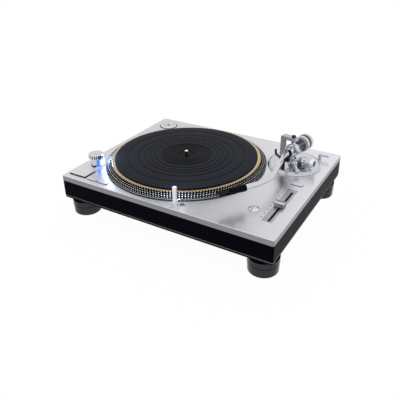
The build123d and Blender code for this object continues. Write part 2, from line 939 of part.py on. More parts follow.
# Lamp button: a small round key beside the target lamp
lamp_button_low = top_z - button_pocket_depth + button_travel + fit_gap
with BuildPart() as lamp_button:
    with BuildSketch(Plane.XY.offset(lamp_button_low)):
        with Locations((lamp_button_x, lamp_button_y)):
            Circle(lamp_button_radius)
    extrude(amount=top_z + lamp_button_proud - lamp_button_low)
    chamfer(lamp_button.faces().sort_by(Axis.Z)[-1].edges(), button_corner / 2)
    with BuildSketch(Plane.XY.offset(panel_z)):
        with Locations((lamp_button_x, lamp_button_y)):
            Circle(button_stem_radius)
    extrude(amount=lamp_button_low - panel_z)
lamp_button.part.label = "lamp_button"
export_step(lamp_button.part, "parts/lamp_button.step")

# Strobe tower: the fixed post at the left front, open towards the platter rim for its window
tower_heading = Vector(platter_x - tower_x, platter_y - tower_y, 0).normalized()
window_plane = Plane(
    origin=(
        tower_x + tower_heading.X * (tower_radius - window_depth),
        tower_y + tower_heading.Y * (tower_radius - window_depth),
        top_z + window_sill + window_height / 2,
    ),
    x_dir=(-tower_heading.Y, tower_heading.X, 0),
    z_dir=(tower_heading.X, tower_heading.Y, 0),
)
with BuildPart() as strobe_tower:
    with BuildSketch(Plane.XY.offset(top_z - tower_spigot_depth)):
        with Locations((tower_x, tower_y)):
            Circle(tower_spigot_radius - hole_gap)
    extrude(amount=tower_spigot_depth)
    with BuildSketch(Plane.XY.offset(top_z)):
        with Locations((tower_x, tower_y)):
            Circle(tower_radius)
    extrude(amount=tower_height)
    with BuildSketch(Plane.XY.offset(top_z - tower_spigot_depth)):
        with Locations((tower_x, tower_y)):
            Circle(dial_shaft_radius + journal_gap)
    extrude(amount=tower_spigot_depth + tower_height, mode=Mode.SUBTRACT)
    with BuildSketch(window_plane):
        Rectangle(window_width, window_height)
    extrude(amount=window_depth + tower_radius, mode=Mode.SUBTRACT)
strobe_tower.part.label = "strobe_tower"
export_step(strobe_tower.part, "parts/strobe_tower.step")

# Strobe window: the clear lens in the tower, its face proud and sloped like a cut gem
with BuildPart() as strobe_window:
    with BuildSketch(window_plane):
        Rectangle(window_width - 2 * hole_gap, window_height - 2 * hole_gap)
    with BuildSketch(window_plane.offset(window_depth - window_recess)):
        Rectangle(window_width - 2 * window_taper, window_height - 2 * window_taper)
    loft(ruled=True)
strobe_window.part.label = "strobe_window"
export_step(strobe_window.part, "parts/strobe_window.step")

# Power dial: the fluted cap that turns on the tower
dial_z = top_z + tower_height + fit_gap
with BuildPart() as power_dial:
    with BuildSketch(Plane.XY.offset(dial_z)):
        with Locations((tower_x, tower_y)):
            Circle(dial_radius)
    extrude(amount=dial_height)
    fillet(power_dial.faces().sort_by(Axis.Z)[-1].edges(), dial_flute_radius)
    with BuildSketch(Plane.XY.offset(dial_z)):
        with Locations((tower_x, tower_y)):
            with PolarLocations(dial_radius + dial_flute_radius / 3, dial_flute_count):
                Circle(dial_flute_radius)
    extrude(amount=dial_height - 2 * dial_flute_radius, mode=Mode.SUBTRACT)
    with BuildSketch(Plane.XY.offset(top_z - tower_spigot_depth / 2)):
        with Locations((tower_x, tower_y)):
            Circle(dial_shaft_radius)
    extrude(amount=dial_z - top_z + tower_spigot_depth / 2)
power_dial.part.label = "power_dial"
export_step(power_dial.part, "parts/power_dial.step")

# Target lamp: the pop-up post, notched near its top for the lens that faces the platter
lamp_heading = Vector(platter_x - lamp_x, platter_y - lamp_y, 0).normalized()
lens_plane = Plane(
    origin=(
        lamp_x + lamp_heading.X * (lamp_radius - lamp_notch_depth),
        lamp_y + lamp_heading.Y * (lamp_radius - lamp_notch_depth),
        top_z + (lamp_notch_low + lamp_notch_high) / 2,
    ),
    x_dir=(-lamp_heading.Y, lamp_heading.X, 0),
    z_dir=(lamp_heading.X, lamp_heading.Y, 0),
)
lens_height = lamp_notch_high - lamp_notch_low
with BuildPart() as target_lamp:
    with BuildSketch(Plane.XY.offset(top_z - lamp_tail)):
        with Locations((lamp_x, lamp_y)):
            Circle(lamp_radius)
    extrude(amount=lamp_tail + lamp_height)
    fillet(target_lamp.faces().sort_by(Axis.Z)[-1].edges(), lamp_tip_round)
    with BuildSketch(lens_plane):
        Rectangle(lamp_lens_width + 2 * hole_gap, lens_height)
    extrude(amount=2 * lamp_radius, mode=Mode.SUBTRACT)
target_lamp.part.label = "target_lamp"
export_step(target_lamp.part, "parts/target_lamp.step")

# Target lamp lens: a clear block that fills the notch
with BuildPart() as target_lamp_lens:
    with BuildSketch(lens_plane):
        Rectangle(lamp_lens_width, lens_height - 2 * hole_gap)
    extrude(amount=lamp_notch_depth - lamp_lens_recess)
target_lamp_lens.part.label = "target_lamp_lens"
export_step(target_lamp_lens.part, "parts/target_lamp_lens.step")

# Lamp sleeve: the flush guide that the post slides in
with BuildPart() as lamp_sleeve:
    with BuildSketch(Plane.XY.offset(top_z - lamp_sleeve_drop)):
        with Locations((lamp_x, lamp_y)):
            Circle(lamp_sleeve_radius - hole_gap)
            Circle(lamp_radius + journal_gap, mode=Mode.SUBTRACT)
    extrude(amount=lamp_sleeve_drop + lamp_flange_proud)
lamp_sleeve.part.label = "lamp_sleeve"
export_step(lamp_sleeve.part, "parts/lamp_sleeve.step")

# Shell socket: the black cup for a spare headshell
with BuildPart() as shell_socket:
    with BuildSketch(upright(socket_x, socket_y)):
        with BuildLine():
            Polyline(
                (0, top_z - socket_depth),
                (socket_radius - hole_gap, top_z - socket_depth),
                (socket_radius - hole_gap, top_z + lamp_flange_proud),
                (socket_bore_radius, top_z + lamp_flange_proud),
                (socket_bore_radius, top_z - socket_depth + socket_floor),
                (0, top_z - socket_depth + socket_floor),
                close=True,
            )
        make_face()
    revolve(axis=vertical_axis(socket_x, socket_y))
shell_socket.part.label = "shell_socket"
export_step(shell_socket.part, "parts/shell_socket.step")

# Socket cap: the bright domed plug in the socket
cap_dome_radius = (cap_radius**2 + cap_rise**2) / (2 * cap_rise)
with BuildPart() as socket_cap:
    with BuildSketch(upright(socket_x, socket_y)):
        with BuildLine():
            Polyline(
                (0, top_z + cap_rise),
                (0, top_z - socket_depth + socket_floor),
                (cap_radius, top_z - socket_depth + socket_floor),
                (cap_radius, top_z),
            )
            RadiusArc((cap_radius, top_z), (0, top_z + cap_rise), -cap_dome_radius)
        make_face()
    revolve(axis=vertical_axis(socket_x, socket_y))
socket_cap.part.label = "socket_cap"
export_step(socket_cap.part, "parts/socket_cap.step")

# Slider plate: the sunk scale plate with the long slot
slot_length = 2 * slider_travel + slider_stem_length + slider_slot_end_gap
slot_width = slider_stem_width + 2 * fit_gap
slot_x = slider_x + slider_slot_offset
with BuildPart() as slider_plate:
    with BuildSketch(Plane.XY.offset(top_z - slider_plate_thickness - slider_plate_sink)):
        with Locations((slider_x, slider_y)):
            RectangleRounded(slider_plate_width, slider_plate_length, button_corner)
        with Locations((slot_x, slider_rest_y)):
            Rectangle(slot_width, slot_length, mode=Mode.SUBTRACT)
    extrude(amount=slider_plate_thickness)
slider_plate.part.label = "slider_plate"
export_step(slider_plate.part, "parts/slider_plate.step")

# Pitch potentiometer: the long slotted body under the panel
with BuildPart() as pitch_potentiometer:
    with BuildSketch(Plane.XY.offset(panel_z - pot_height)):
        with Locations((slot_x, slider_rest_y)):
            Rectangle(pot_width, pot_length)
    extrude(amount=pot_height)
    with BuildSketch(Plane.XY.offset(panel_z - pot_slot_depth)):
        with Locations((slot_x, slider_rest_y)):
            Rectangle(slot_width, slot_length)
    extrude(amount=pot_slot_depth, mode=Mode.SUBTRACT)
pitch_potentiometer.part.label = "pitch_potentiometer"
export_step(pitch_potentiometer.part, "parts/pitch_potentiometer.step")

# Slider knob: a waisted cap with a pointer groove, on its stem
knob_z = top_z + slider_cap_lift
stem_low = panel_z - pot_slot_depth + fit_gap
with BuildPart() as slider_knob:
    with BuildSketch(Plane.YZ.offset(slider_x - slider_cap_width / 2)):
        with BuildLine():
            Polyline(
                (slider_rest_y - slider_cap_length / 2, knob_z),
                (slider_rest_y + slider_cap_length / 2, knob_z),
                (slider_rest_y + slider_cap_length / 2 - slider_cap_taper, knob_z + slider_cap_height),
                (slider_rest_y + slider_groove_half, knob_z + slider_cap_height - slider_groove_depth),
                (slider_rest_y - slider_groove_half, knob_z + slider_cap_height - slider_groove_depth),
                (slider_rest_y - slider_cap_length / 2 + slider_cap_taper, knob_z + slider_cap_height),
                close=True,
            )
        make_face()
    extrude(amount=slider_cap_width)
    with BuildSketch(Plane.XY.offset(stem_low)):
        with Locations((slot_x, slider_rest_y)):
            Rectangle(slider_stem_width, slider_stem_length)
    extrude(amount=knob_z - stem_low)
slider_knob.part.label = "slider_knob"
export_step(slider_knob.part, "parts/slider_knob.step")

# Record adapter: the turned puck for large-hole records, loose in its recess
adapter_low = top_z - adapter_recess_depth
with BuildPart() as record_adapter:
    with BuildSketch(upright(adapter_x, adapter_y)):
        with BuildLine():
            Polyline(
                (adapter_bore_radius, adapter_low),
                (adapter_radius, adapter_low),
                (adapter_radius, adapter_low + adapter_height - adapter_chamfer),
                (adapter_radius - adapter_chamfer, adapter_low + adapter_height),
                (adapter_bore_radius + adapter_chamfer, adapter_low + adapter_height),
                (adapter_bore_radius, adapter_low + adapter_height - adapter_chamfer / 2),
                close=True,
            )
        make_face()
    revolve(axis=vertical_axis(adapter_x, adapter_y))
record_adapter.part.label = "record_adapter"
export_step(record_adapter.part, "parts/record_adapter.step")

# Height ring: the stepped ring that is turned to raise the arm base
with BuildPart() as height_ring:
    with BuildSketch(upright(base_x, base_y)):
        with BuildLine():
            Polyline(
                (ring_inner_radius, top_z + fit_gap),
                (ring_radius, top_z + fit_gap),
                (ring_radius, top_z + ring_step_rise),
                (ring_radius - ring_step, top_z + 2 * ring_step_rise),
                (ring_radius - ring_step, top_z + ring_height - ring_edge_break),
                (ring_radius - ring_step - ring_edge_break, top_z + ring_height),
                (ring_inner_radius, top_z + ring_height),
                close=True,
            )
        make_face()
    revolve(axis=vertical_axis(base_x, base_y))
height_ring.part.label = "height_ring"
export_step(height_ring.part, "parts/height_ring.step")

# Arm base: the round deck on its sleeve, with the lower pivot post, the lift guide,
# the cue lever's ears and the side-force housing
tube_low = axis_height - tube_radius
pivot_post_top = axis_height - carrier_half_height - fit_gap
lift_post_along = lift_bar_radius * cos(radians(lift_post_angle))
lift_post_across = -lift_bar_radius * sin(radians(lift_post_angle))
cue_plane = Plane(
    origin=arm_point(cue_pivot_along, cue_pivot_across, cue_pivot_height),
    x_dir=(
        cos(radians(arm_angle + cue_direction)),
        sin(radians(arm_angle + cue_direction)),
        0,
    ),
    z_dir=(
        sin(radians(arm_angle + cue_direction)),
        -cos(radians(arm_angle + cue_direction)),
        0,
    ),
)
ear_height = cue_pivot_height - arm_disc_height
with BuildPart() as arm_base:
    with BuildSketch(upright(base_x, base_y)):
        with BuildLine():
            Polyline(
                (arm_sleeve_inner_radius, top_z - arm_sleeve_drop),
                (arm_sleeve_radius, top_z - arm_sleeve_drop),
                (arm_sleeve_radius, top_z),
                (arm_disc_radius, top_z),
                (arm_disc_radius, top_z + arm_disc_height - arm_disc_edge),
                (arm_disc_radius - arm_disc_edge, top_z + arm_disc_height),
                (0, top_z + arm_disc_height),
                (0, top_z),
                (arm_sleeve_inner_radius, top_z),
                close=True,
            )
        make_face()
    revolve(axis=vertical_axis(base_x, base_y))
    with BuildSketch(arm_level(arm_disc_height)):
        Circle(pivot_post_radius)
    extrude(amount=pivot_post_top - arm_disc_height)
    with BuildSketch(arm_level(arm_disc_height)):
        with Locations((lift_post_along, lift_post_across)):
            Circle(lift_guide_radius)
    extrude(amount=lift_guide_height)
    with BuildSketch(arm_level(pivot_post_top)):
        Circle(pivot_pin_radius + journal_gap)
    extrude(amount=-pivot_pin_bite - fit_gap, mode=Mode.SUBTRACT)
    with BuildSketch(arm_level(arm_disc_height + lift_guide_height)):
        with Locations((lift_post_along, lift_post_across)):
            Circle(lift_post_radius + journal_gap)
    extrude(amount=-lift_guide_depth, mode=Mode.SUBTRACT)
    for side in (-1, 1):
        with BuildSketch(cue_plane.offset(side * (cue_lever_width / 2 + fit_gap + cue_ear / 2))):
            Circle(cue_ear)
            with Locations((0, -ear_height / 2)):
                Rectangle(2 * cue_ear, ear_height)
        extrude(amount=cue_ear / 2, both=True)
        with BuildSketch(cue_plane.offset(side * (cue_lever_width / 2 + fit_gap + cue_ear / 2))):
            Circle(cue_pin_radius + journal_gap)
        extrude(amount=cue_ear / 2, both=True, mode=Mode.SUBTRACT)
    side_back = arch_half_width + fit_gap
    with BuildSketch(arm_side(side_back, side_dial_along, side_dial_height)):
        Circle(side_housing_radius)
    extrude(amount=side_dial_across - fit_gap - side_back)
    with BuildSketch(arm_level(arm_disc_height, side_dial_along, side_back)):
        with Locations((0, (side_dial_across - fit_gap - side_back) / 2)):
            Rectangle(side_housing_radius, side_dial_across - fit_gap - side_back)
    extrude(amount=side_dial_height - arm_disc_height)
    with BuildSketch(arm_side(side_back, side_dial_along, side_dial_height)):
        Circle(side_shaft_radius + journal_gap)
    extrude(amount=side_dial_across, mode=Mode.SUBTRACT)
arm_base.part.label = "arm_base"
export_step(arm_base.part, "parts/arm_base.step")

# Gimbal arch: the square bracket over the pivot, open at its outer side
arch_inner = arch_half_width - arch_pillar
arch_end = pivot_screw_radius + hole_gap + arch_end_wall
with BuildPart() as gimbal_arch:
    with BuildSketch(arm_section(-arch_thickness / 2, 0, 0)):
        with BuildLine():
            Polyline(
                (-arch_half_width, arm_disc_height),
                (-arch_half_width, arch_top),
                (arch_end, arch_top),
                (arch_end, arch_top - arch_beam),
                (-arch_inner, arch_top - arch_beam),
                (-arch_inner, arm_disc_height),
                close=True,
            )
        make_face()
    extrude(amount=arch_thickness)
    arch_edges = gimbal_arch.edges().filter_by(Axis((0, 0, 0), tuple(arm_along)))
    chamfer(arch_edges.sort_by(Axis.Z)[-2:], arch_edge_break)
    with BuildSketch(arm_level(arch_top)):
        Circle(pivot_screw_radius + hole_gap)
    extrude(amount=-arch_beam, mode=Mode.SUBTRACT)
gimbal_arch.part.label = "gimbal_arch"
export_step(gimbal_arch.part, "parts/gimbal_arch.step")

# Pivot screw: the slotted bearing screw in the beam that holds the upper pivot
pivot_screw_low = axis_height + carrier_half_height + fit_gap
with BuildPart() as pivot_screw:
    with BuildSketch(arm_level(pivot_screw_low)):
        Circle(pivot_screw_radius)
    extrude(amount=arch_top + pivot_screw_proud - pivot_screw_low)
    with BuildSketch(arm_level(arch_top + pivot_screw_proud)):
        Rectangle(2 * pivot_screw_radius, pivot_slot_width)
    extrude(amount=-pivot_slot_depth, mode=Mode.SUBTRACT)
    with BuildSketch(arm_level(pivot_screw_low)):
        Circle(pivot_pin_radius + journal_gap)
    extrude(amount=pivot_pin_bite + fit_gap, mode=Mode.SUBTRACT)
pivot_screw.part.label = "pivot_screw"
export_step(pivot_screw.part, "parts/pivot_screw.step")

# Gimbal carrier: the square frame that swings on the vertical pivots
carrier_inner_width = carrier_half_width - carrier_wall
carrier_inner_height = carrier_half_height - carrier_wall
with BuildPart() as gimbal_carrier:
    with BuildSketch(arm_section(-carrier_thickness / 2)):
        RectangleRounded(2 * carrier_half_width, 2 * carrier_half_height, carrier_corner)
        RectangleRounded(
            2 * carrier_inner_width,
            2 * carrier_inner_height,
            carrier_inner_corner,
            mode=Mode.SUBTRACT,
        )
    extrude(amount=carrier_thickness)
    with BuildSketch(arm_level(axis_height + carrier_inner_height + pivot_pin_root)):
        Circle(pivot_pin_radius)
    extrude(amount=carrier_wall - pivot_pin_root + pivot_pin_bite)
    with BuildSketch(arm_level(axis_height - carrier_inner_height - pivot_pin_root)):
        Circle(pivot_pin_radius)
    extrude(amount=pivot_pin_root - carrier_wall - pivot_pin_bite)
    with BuildSketch(arm_side(-carrier_half_width)):
        Circle(trunnion_radius + journal_gap)
    extrude(amount=2 * carrier_half_width, mode=Mode.SUBTRACT)
gimbal_carrier.part.label = "gimbal_carrier"
export_step(gimbal_carrier.part, "parts/gimbal_carrier.step")

# Bearing housing of the arm: the barrel on its cross pins, with the rear stub for the weight
with BuildPart() as arm_barrel:
    with BuildSketch(arm_section(-housing_rear)):
        Circle(housing_radius)
    extrude(amount=housing_front + housing_rear)
    chamfer(arm_barrel.edges().filter_by(GeomType.CIRCLE), housing_edge_break)
    with BuildSketch(arm_section(-rear_stub_end)):
        Circle(rear_stub_radius)
    extrude(amount=rear_stub_end - housing_rear)
    with BuildSketch(arm_side(trunnion_recess - carrier_half_width)):
        Circle(trunnion_radius)
    extrude(amount=2 * (carrier_half_width - trunnion_recess))
    with BuildSketch(arm_section(housing_front - tube_socket_depth)):
        Circle(tube_radius + hole_gap)
    extrude(amount=tube_socket_depth, mode=Mode.SUBTRACT)
arm_barrel.part.label = "arm_barrel"
export_step(arm_barrel.part, "parts/arm_barrel.step")

# Arm tube: the S-shaped tube, bent outwards past the rest and back to the shell's offset angle
slope_out = tan(radians(tube_out_angle))
slope_back = tan(radians(head_angle))
bend_reach = slope_back * stylus_reach + slope_out * tube_out_start + stylus_across
bend_along = bend_reach / (slope_out + slope_back)
bend_across = slope_out * (bend_along - tube_out_start)
shell_along = cos(radians(head_angle))
shell_across = -sin(radians(head_angle))
tube_end = (
    stylus_reach - collar_back * shell_along,
    stylus_across - collar_back * shell_across,
)
tube_start = housing_front - tube_socket_depth + fit_gap
bend_run = hypot(tube_end[0] - bend_along, tube_end[1] - bend_across)
tube_bend_radius = tube_bend_share * bend_run / tan(radians(tube_out_angle + head_angle) / 2)
with BuildPart() as arm_tube:
    with BuildLine(arm_level(axis_height)) as tube_path:
        FilletPolyline(
            (tube_start, 0),
            (tube_out_start, 0),
            (bend_along, bend_across),
            tube_end,
            radius=[tube_out_radius, tube_bend_radius],
        )
    with BuildSketch(arm_section(tube_start)):
        Circle(tube_radius)
        Circle(tube_radius - tube_wall, mode=Mode.SUBTRACT)
    sweep()
arm_tube.part.label = "arm_tube"
export_step(arm_tube.part, "parts/arm_tube.step")

# Axes of the headshell: x along the shell towards its nose, y outwards, z up
shell_heading = arm_along * shell_along + arm_across * shell_across


def shell_level(height):
    """A level plane over the stylus place, its height taken above the panel."""
    spot = arm_point(stylus_reach, stylus_across, height)
    return Plane(origin=spot, x_dir=shell_heading, z_dir=(0, 0, 1))


def shell_section(back):
    """A plane across the shell at a distance behind the stylus place, its normal forwards."""
    spot = Vector(*arm_point(stylus_reach, stylus_across, axis_height)) - shell_heading * back
    return Plane(origin=spot, x_dir=shell_level(0).y_dir, z_dir=shell_heading)


# Shell collar: the locking collar that draws the headshell on to the tube
with BuildPart() as shell_collar:
    with BuildSketch(shell_section(collar_back - collar_gap)):
        Circle(collar_radius)
        Circle(plug_radius + fit_gap, mode=Mode.SUBTRACT)
    extrude(amount=collar_length)
    chamfer(shell_collar.edges().filter_by(GeomType.CIRCLE).sort_by(SortBy.RADIUS)[-2:], collar_edge_break)
shell_collar.part.label = "shell_collar"
export_step(shell_collar.part, "parts/shell_collar.step")

# Headshell: a tapered plate with its two cartridge slots, a round neck, and the plug into the tube
shell_top = axis_height + shell_drop
shell_low = shell_top - shell_plate
neck_back = collar_back - collar_gap - collar_length - fit_gap
with BuildPart() as headshell:
    with BuildSketch(shell_level(shell_low)):
        with BuildLine():
            Polyline(
                (-shell_back, shell_heel_cut - shell_width / 2),
                (shell_heel_length - shell_back, -shell_width / 2),
                (shell_front - shell_nose_length, -shell_width / 2),
                (shell_front, -shell_nose_width / 2),
                (shell_front, shell_nose_width / 2),
                (shell_front - shell_nose_length, shell_width / 2),
                (shell_heel_length - shell_back, shell_width / 2),
                (-shell_back, shell_width / 2 - shell_heel_cut),
                close=True,
            )
        make_face()
    extrude(amount=shell_plate)
    fillet(headshell.edges().filter_by(Axis.Z), shell_corner)
    with BuildSketch(shell_level(shell_low)):
        with Locations((-shell_slot_back, 0)):
            with GridLocations(0, shell_slot_spacing, 1, 2):
                SlotOverall(shell_slot_length, shell_slot_width)
    extrude(amount=shell_plate, mode=Mode.SUBTRACT)
    with BuildSketch(shell_section(neck_back)):
        Circle(shell_neck_radius)
    extrude(amount=neck_back - shell_back + shell_neck_length)
    with BuildSketch(shell_section(collar_back + plug_reach)):
        Circle(plug_radius - fit_gap)
    extrude(amount=collar_back + plug_reach - neck_back)
headshell.part.label = "headshell"
export_step(headshell.part, "parts/headshell.step")

# Finger lift: the thin curled tab at the outside of the shell
tab_start = shell_width / 2 - lift_tab_seat
tab_bend = shell_width / 2 + lift_tab_flat
tab_end = tab_bend + lift_tab_curl
with BuildPart() as finger_lift:
    with BuildSketch(shell_section(lift_tab_back + lift_tab_width / 2)):
        with BuildLine():
            Polyline(
                (tab_start, shell_drop),
                (tab_bend, shell_drop),
                (tab_end, shell_drop + lift_tab_rise),
                (tab_end, shell_drop + lift_tab_rise + lift_tab_thickness),
                (tab_bend, shell_drop + lift_tab_thickness),
                (tab_start, shell_drop + lift_tab_thickness),
                close=True,
            )
        make_face()
    extrude(amount=lift_tab_width)
finger_lift.part.label = "finger_lift"
export_step(finger_lift.part, "parts/finger_lift.step")

# Tracking dial: the numbered force ring in front of the counterweight
with BuildPart() as tracking_dial:
    with BuildSketch(arm_section(-dial_front - dial_length)):
        Circle(force_dial_radius)
        Circle(rear_stub_radius + journal_gap, mode=Mode.SUBTRACT)
    extrude(amount=dial_length)
    chamfer(tracking_dial.edges().filter_by(GeomType.CIRCLE).sort_by(SortBy.RADIUS)[-2:], force_dial_bevel)
tracking_dial.part.label = "tracking_dial"
export_step(tracking_dial.part, "parts/tracking_dial.step")

# Counterweight: the turned weight on the rear stub, hollow at its back
weight_front = dial_front + dial_length + weight_gap
with BuildPart() as counterweight:
    with BuildSketch(arm_section(-weight_front - weight_length)):
        Circle(weight_radius)
    extrude(amount=weight_length)
    chamfer(counterweight.edges().filter_by(GeomType.CIRCLE), weight_bevel)
    with BuildSketch(arm_section(-weight_front - weight_length)):
        Circle(rear_stub_radius + journal_gap)
    extrude(amount=weight_length, mode=Mode.SUBTRACT)
    with BuildSketch(arm_section(-weight_front - weight_length)):
        Circle(weight_hollow_radius)
    extrude(amount=weight_hollow_depth, mode=Mode.SUBTRACT)
counterweight.part.label = "counterweight"
export_step(counterweight.part, "parts/counterweight.step")

# Arm rest: the post with a cradle under the tube and two ears for the clamp at its outer side
rest_across = slope_out * (rest_along - tube_out_start)
cradle_top = tube_low - rest_gap
cradle_low = cradle_top - rest_wall
cradle_half = tube_radius + rest_gap
hinge_across = rest_across + cradle_half + rest_wall_gap + clamp_lug_radius
hinge_height = axis_height + clamp_hinge_rise
with BuildPart() as arm_rest:
    with BuildSketch(arm_level(arm_disc_height, rest_along, rest_across)):
        Circle(rest_post_radius)
    extrude(amount=cradle_low - arm_disc_height)
    with BuildSketch(arm_section(rest_along - rest_length / 2, 0, 0)):
        with BuildLine():
            Polyline(
                (rest_across - cradle_half, cradle_low),
                (hinge_across + clamp_lug_radius, cradle_low),
                (hinge_across + clamp_lug_radius, hinge_height),
                (hinge_across - clamp_lug_radius, hinge_height),
                (hinge_across - clamp_lug_radius, cradle_top + rest_lip),
                (rest_across + rest_lip, cradle_top),
                (rest_across - cradle_half, cradle_top),
                close=True,
            )
        make_face()
        with Locations((hinge_across, hinge_height)):
            Circle(clamp_lug_radius)
            Circle(clamp_pin_radius + journal_gap, mode=Mode.SUBTRACT)
    extrude(amount=rest_length)
    with BuildSketch(arm_section(rest_along - clamp_length / 2 - fit_gap, 0, 0)):
        with Locations((hinge_across, hinge_height)):
            Rectangle(2 * (clamp_lug_radius + clamp_slot_margin), 2 * (clamp_lug_radius + clamp_gap))
    extrude(amount=clamp_length + 2 * fit_gap, mode=Mode.SUBTRACT)
arm_rest.part.label = "arm_rest"
export_step(arm_rest.part, "parts/arm_rest.step")

# Arm clamp: the hook that turns over the tube, drawn as it closes and shown swung open
clamp_swing = radians(clamp_open_angle)
clamp_plane = Plane(
    origin=arm_point(rest_along - clamp_length / 2, hinge_across, hinge_height),
    x_dir=arm_across * cos(clamp_swing) - Vector(0, 0, 1) * sin(clamp_swing),
    z_dir=arm_along,
)
hook_inner = tube_radius + clamp_gap
hook_outer = hook_inner + clamp_wall
hook_centre = (rest_across - hinge_across, -clamp_hinge_rise)
with BuildPart() as arm_clamp:
    with BuildSketch(clamp_plane):
        with BuildLine():
            outer_arc = CenterArc(hook_centre, hook_outer, clamp_start_angle, clamp_wrap)
            inner_arc = CenterArc(hook_centre, hook_inner, clamp_start_angle, clamp_wrap)
            Line(outer_arc @ 0, inner_arc @ 0)
            Line(outer_arc @ 1, inner_arc @ 1)
        make_face()
        Circle(clamp_lug_radius)
    extrude(amount=clamp_length)
    with BuildSketch(clamp_plane.offset(clamp_length / 2)):
        Circle(clamp_pin_radius)
    extrude(amount=rest_length / 2 - hole_gap, both=True)
arm_clamp.part.label = "arm_clamp"
export_step(arm_clamp.part, "parts/arm_clamp.step")

# Lift bar: the curved cueing bar under the tube, hooked up at its inner end
bar_low = tube_low - lift_bar_gap - lift_bar_thickness


def bar_sector(outer, inner, start, sweep_angle):
    """The outline of a curved strip about the pivot, as a sketch."""
    with BuildSketch() as strip:
        with BuildLine():
            far = CenterArc((0, 0), outer, start, sweep_angle)
            near = CenterArc((0, 0), inner, start, sweep_angle)
            Line(far @ 0, near @ 0)
            Line(far @ 1, near @ 1)
        make_face()
    return strip.sketch


bar_outer = lift_bar_radius + lift_bar_width / 2
bar_inner = lift_bar_radius - lift_bar_width / 2
bar_sweep = lift_bar_outer_angle + lift_bar_inner_angle
with BuildPart() as lift_bar:
    with BuildSketch(arm_level(bar_low)):
        add(bar_sector(bar_outer, bar_inner, -lift_bar_inner_angle, bar_sweep))
    extrude(amount=lift_bar_thickness)
    with BuildSketch(arm_level(bar_low)):
        add(bar_sector(bar_outer, bar_inner, -lift_bar_inner_angle, lift_hook_angle))
    extrude(amount=lift_hook_height)
    with BuildSketch(arm_level(bar_low)):
        with Locations((lift_post_along, lift_post_across)):
            Circle(lift_post_radius)
    extrude(amount=arm_disc_height + lift_guide_height - lift_post_engaged - bar_low)
lift_bar.part.label = "lift_bar"
export_step(lift_bar.part, "parts/lift_bar.step")

# Cue lever: the flat lever on its pin, with a round grip at its end
with BuildPart() as cue_lever:
    with BuildSketch(cue_plane.offset(-cue_lever_width / 2)):
        with BuildLine():
            Polyline(
                (0, -cue_lever_thickness / 2),
                (cue_length, -cue_lever_thickness / 2 - cue_lever_droop),
                (cue_length, cue_lever_thickness / 2 - cue_lever_droop),
                (0, cue_lever_thickness / 2),
                close=True,
            )
        make_face()
        Circle(cue_ear - hole_gap)
    extrude(amount=cue_lever_width)
    with BuildSketch(cue_plane):
        Circle(cue_pin_radius)
    extrude(amount=cue_lever_width / 2 + fit_gap + cue_ear, both=True)
    with BuildSketch(cue_plane):
        with Locations((cue_length, -cue_lever_droop)):
            Circle(cue_knob_radius)
    extrude(amount=cue_knob_length / 2, both=True)
cue_lever.part.label = "cue_lever"
export_step(cue_lever.part, "parts/cue_lever.step")

# Side-force dial: the small numbered knob at the outside of the arm base
with BuildPart() as side_force_dial:
    with BuildSketch(arm_side(side_dial_across, side_dial_along, side_dial_height)):
        Circle(side_dial_radius)
    extrude(amount=side_dial_length)
    fillet(side_force_dial.edges().filter_by(GeomType.CIRCLE), side_dial_round)
    with BuildSketch(arm_side(side_dial_across, side_dial_along, side_dial_height)):
        Circle(side_shaft_radius)
    extrude(amount=-side_shaft_length)
side_force_dial.part.label = "side_force_dial"
export_step(side_force_dial.part, "parts/side_force_dial.step")

# Height lock: the short lever that clamps the ring, on a post screwed to the panel
lock_x = base_x + lock_reach * cos(radians(lock_angle))
lock_y = base_y + lock_reach * sin(radians(lock_angle))
with BuildPart() as lock_post:
    with BuildSketch(Plane.XY.offset(top_z)):
        with Locations((lock_x, lock_y)):
            Circle(lock_post_radius)
    extrude(amount=lock_post_height)
    with BuildSketch(Plane.XY.offset(top_z)):
        with Locations((lock_x, lock_y)):
            Circle(lock_pin_radius)
    extrude(amount=lock_post_height + lock_lever_thickness)
lock_post.part.label = "lock_post"
export_step(lock_post.part, "parts/lock_post.step")

lock_z = top_z + lock_post_height + fit_gap
with BuildPart() as lock_lever:
    with BuildSketch(Plane((lock_x, lock_y, lock_z), x_dir=(1, 0, 0), z_dir=(0, 0, 1))):
        Circle(lock_post_radius)
        with Locations((lock_lever_length / 2, 0)):
            SlotCenterToCenter(lock_lever_length, lock_lever_width)
        Circle(lock_pin_radius + journal_gap, mode=Mode.SUBTRACT)
    extrude(amount=lock_lever_thickness)
lock_lever.part.label = "lock_lever"
export_step(lock_lever.part, "parts/lock_lever.step")

# Terminal tray: the open box let into the rear wall for the signal sockets
rear_wall = Plane.XZ.offset(-half_depth)
with BuildPart() as terminal_tray:
    with BuildSketch(rear_wall):
        with Locations((terminal_x, terminal_z + terminal_height / 2)):
            Rectangle(terminal_width, terminal_height)
    extrude(amount=terminal_depth)
    with BuildSketch(rear_wall):
        with Locations((terminal_x, terminal_z + terminal_height / 2)):
            Rectangle(terminal_width - 2 * tray_wall, terminal_height - 2 * tray_wall)
    extrude(amount=terminal_depth - tray_wall, mode=Mode.SUBTRACT)
terminal_tray.part.label = "terminal_tray"
export_step(terminal_tray.part, "parts/terminal_tray.step")

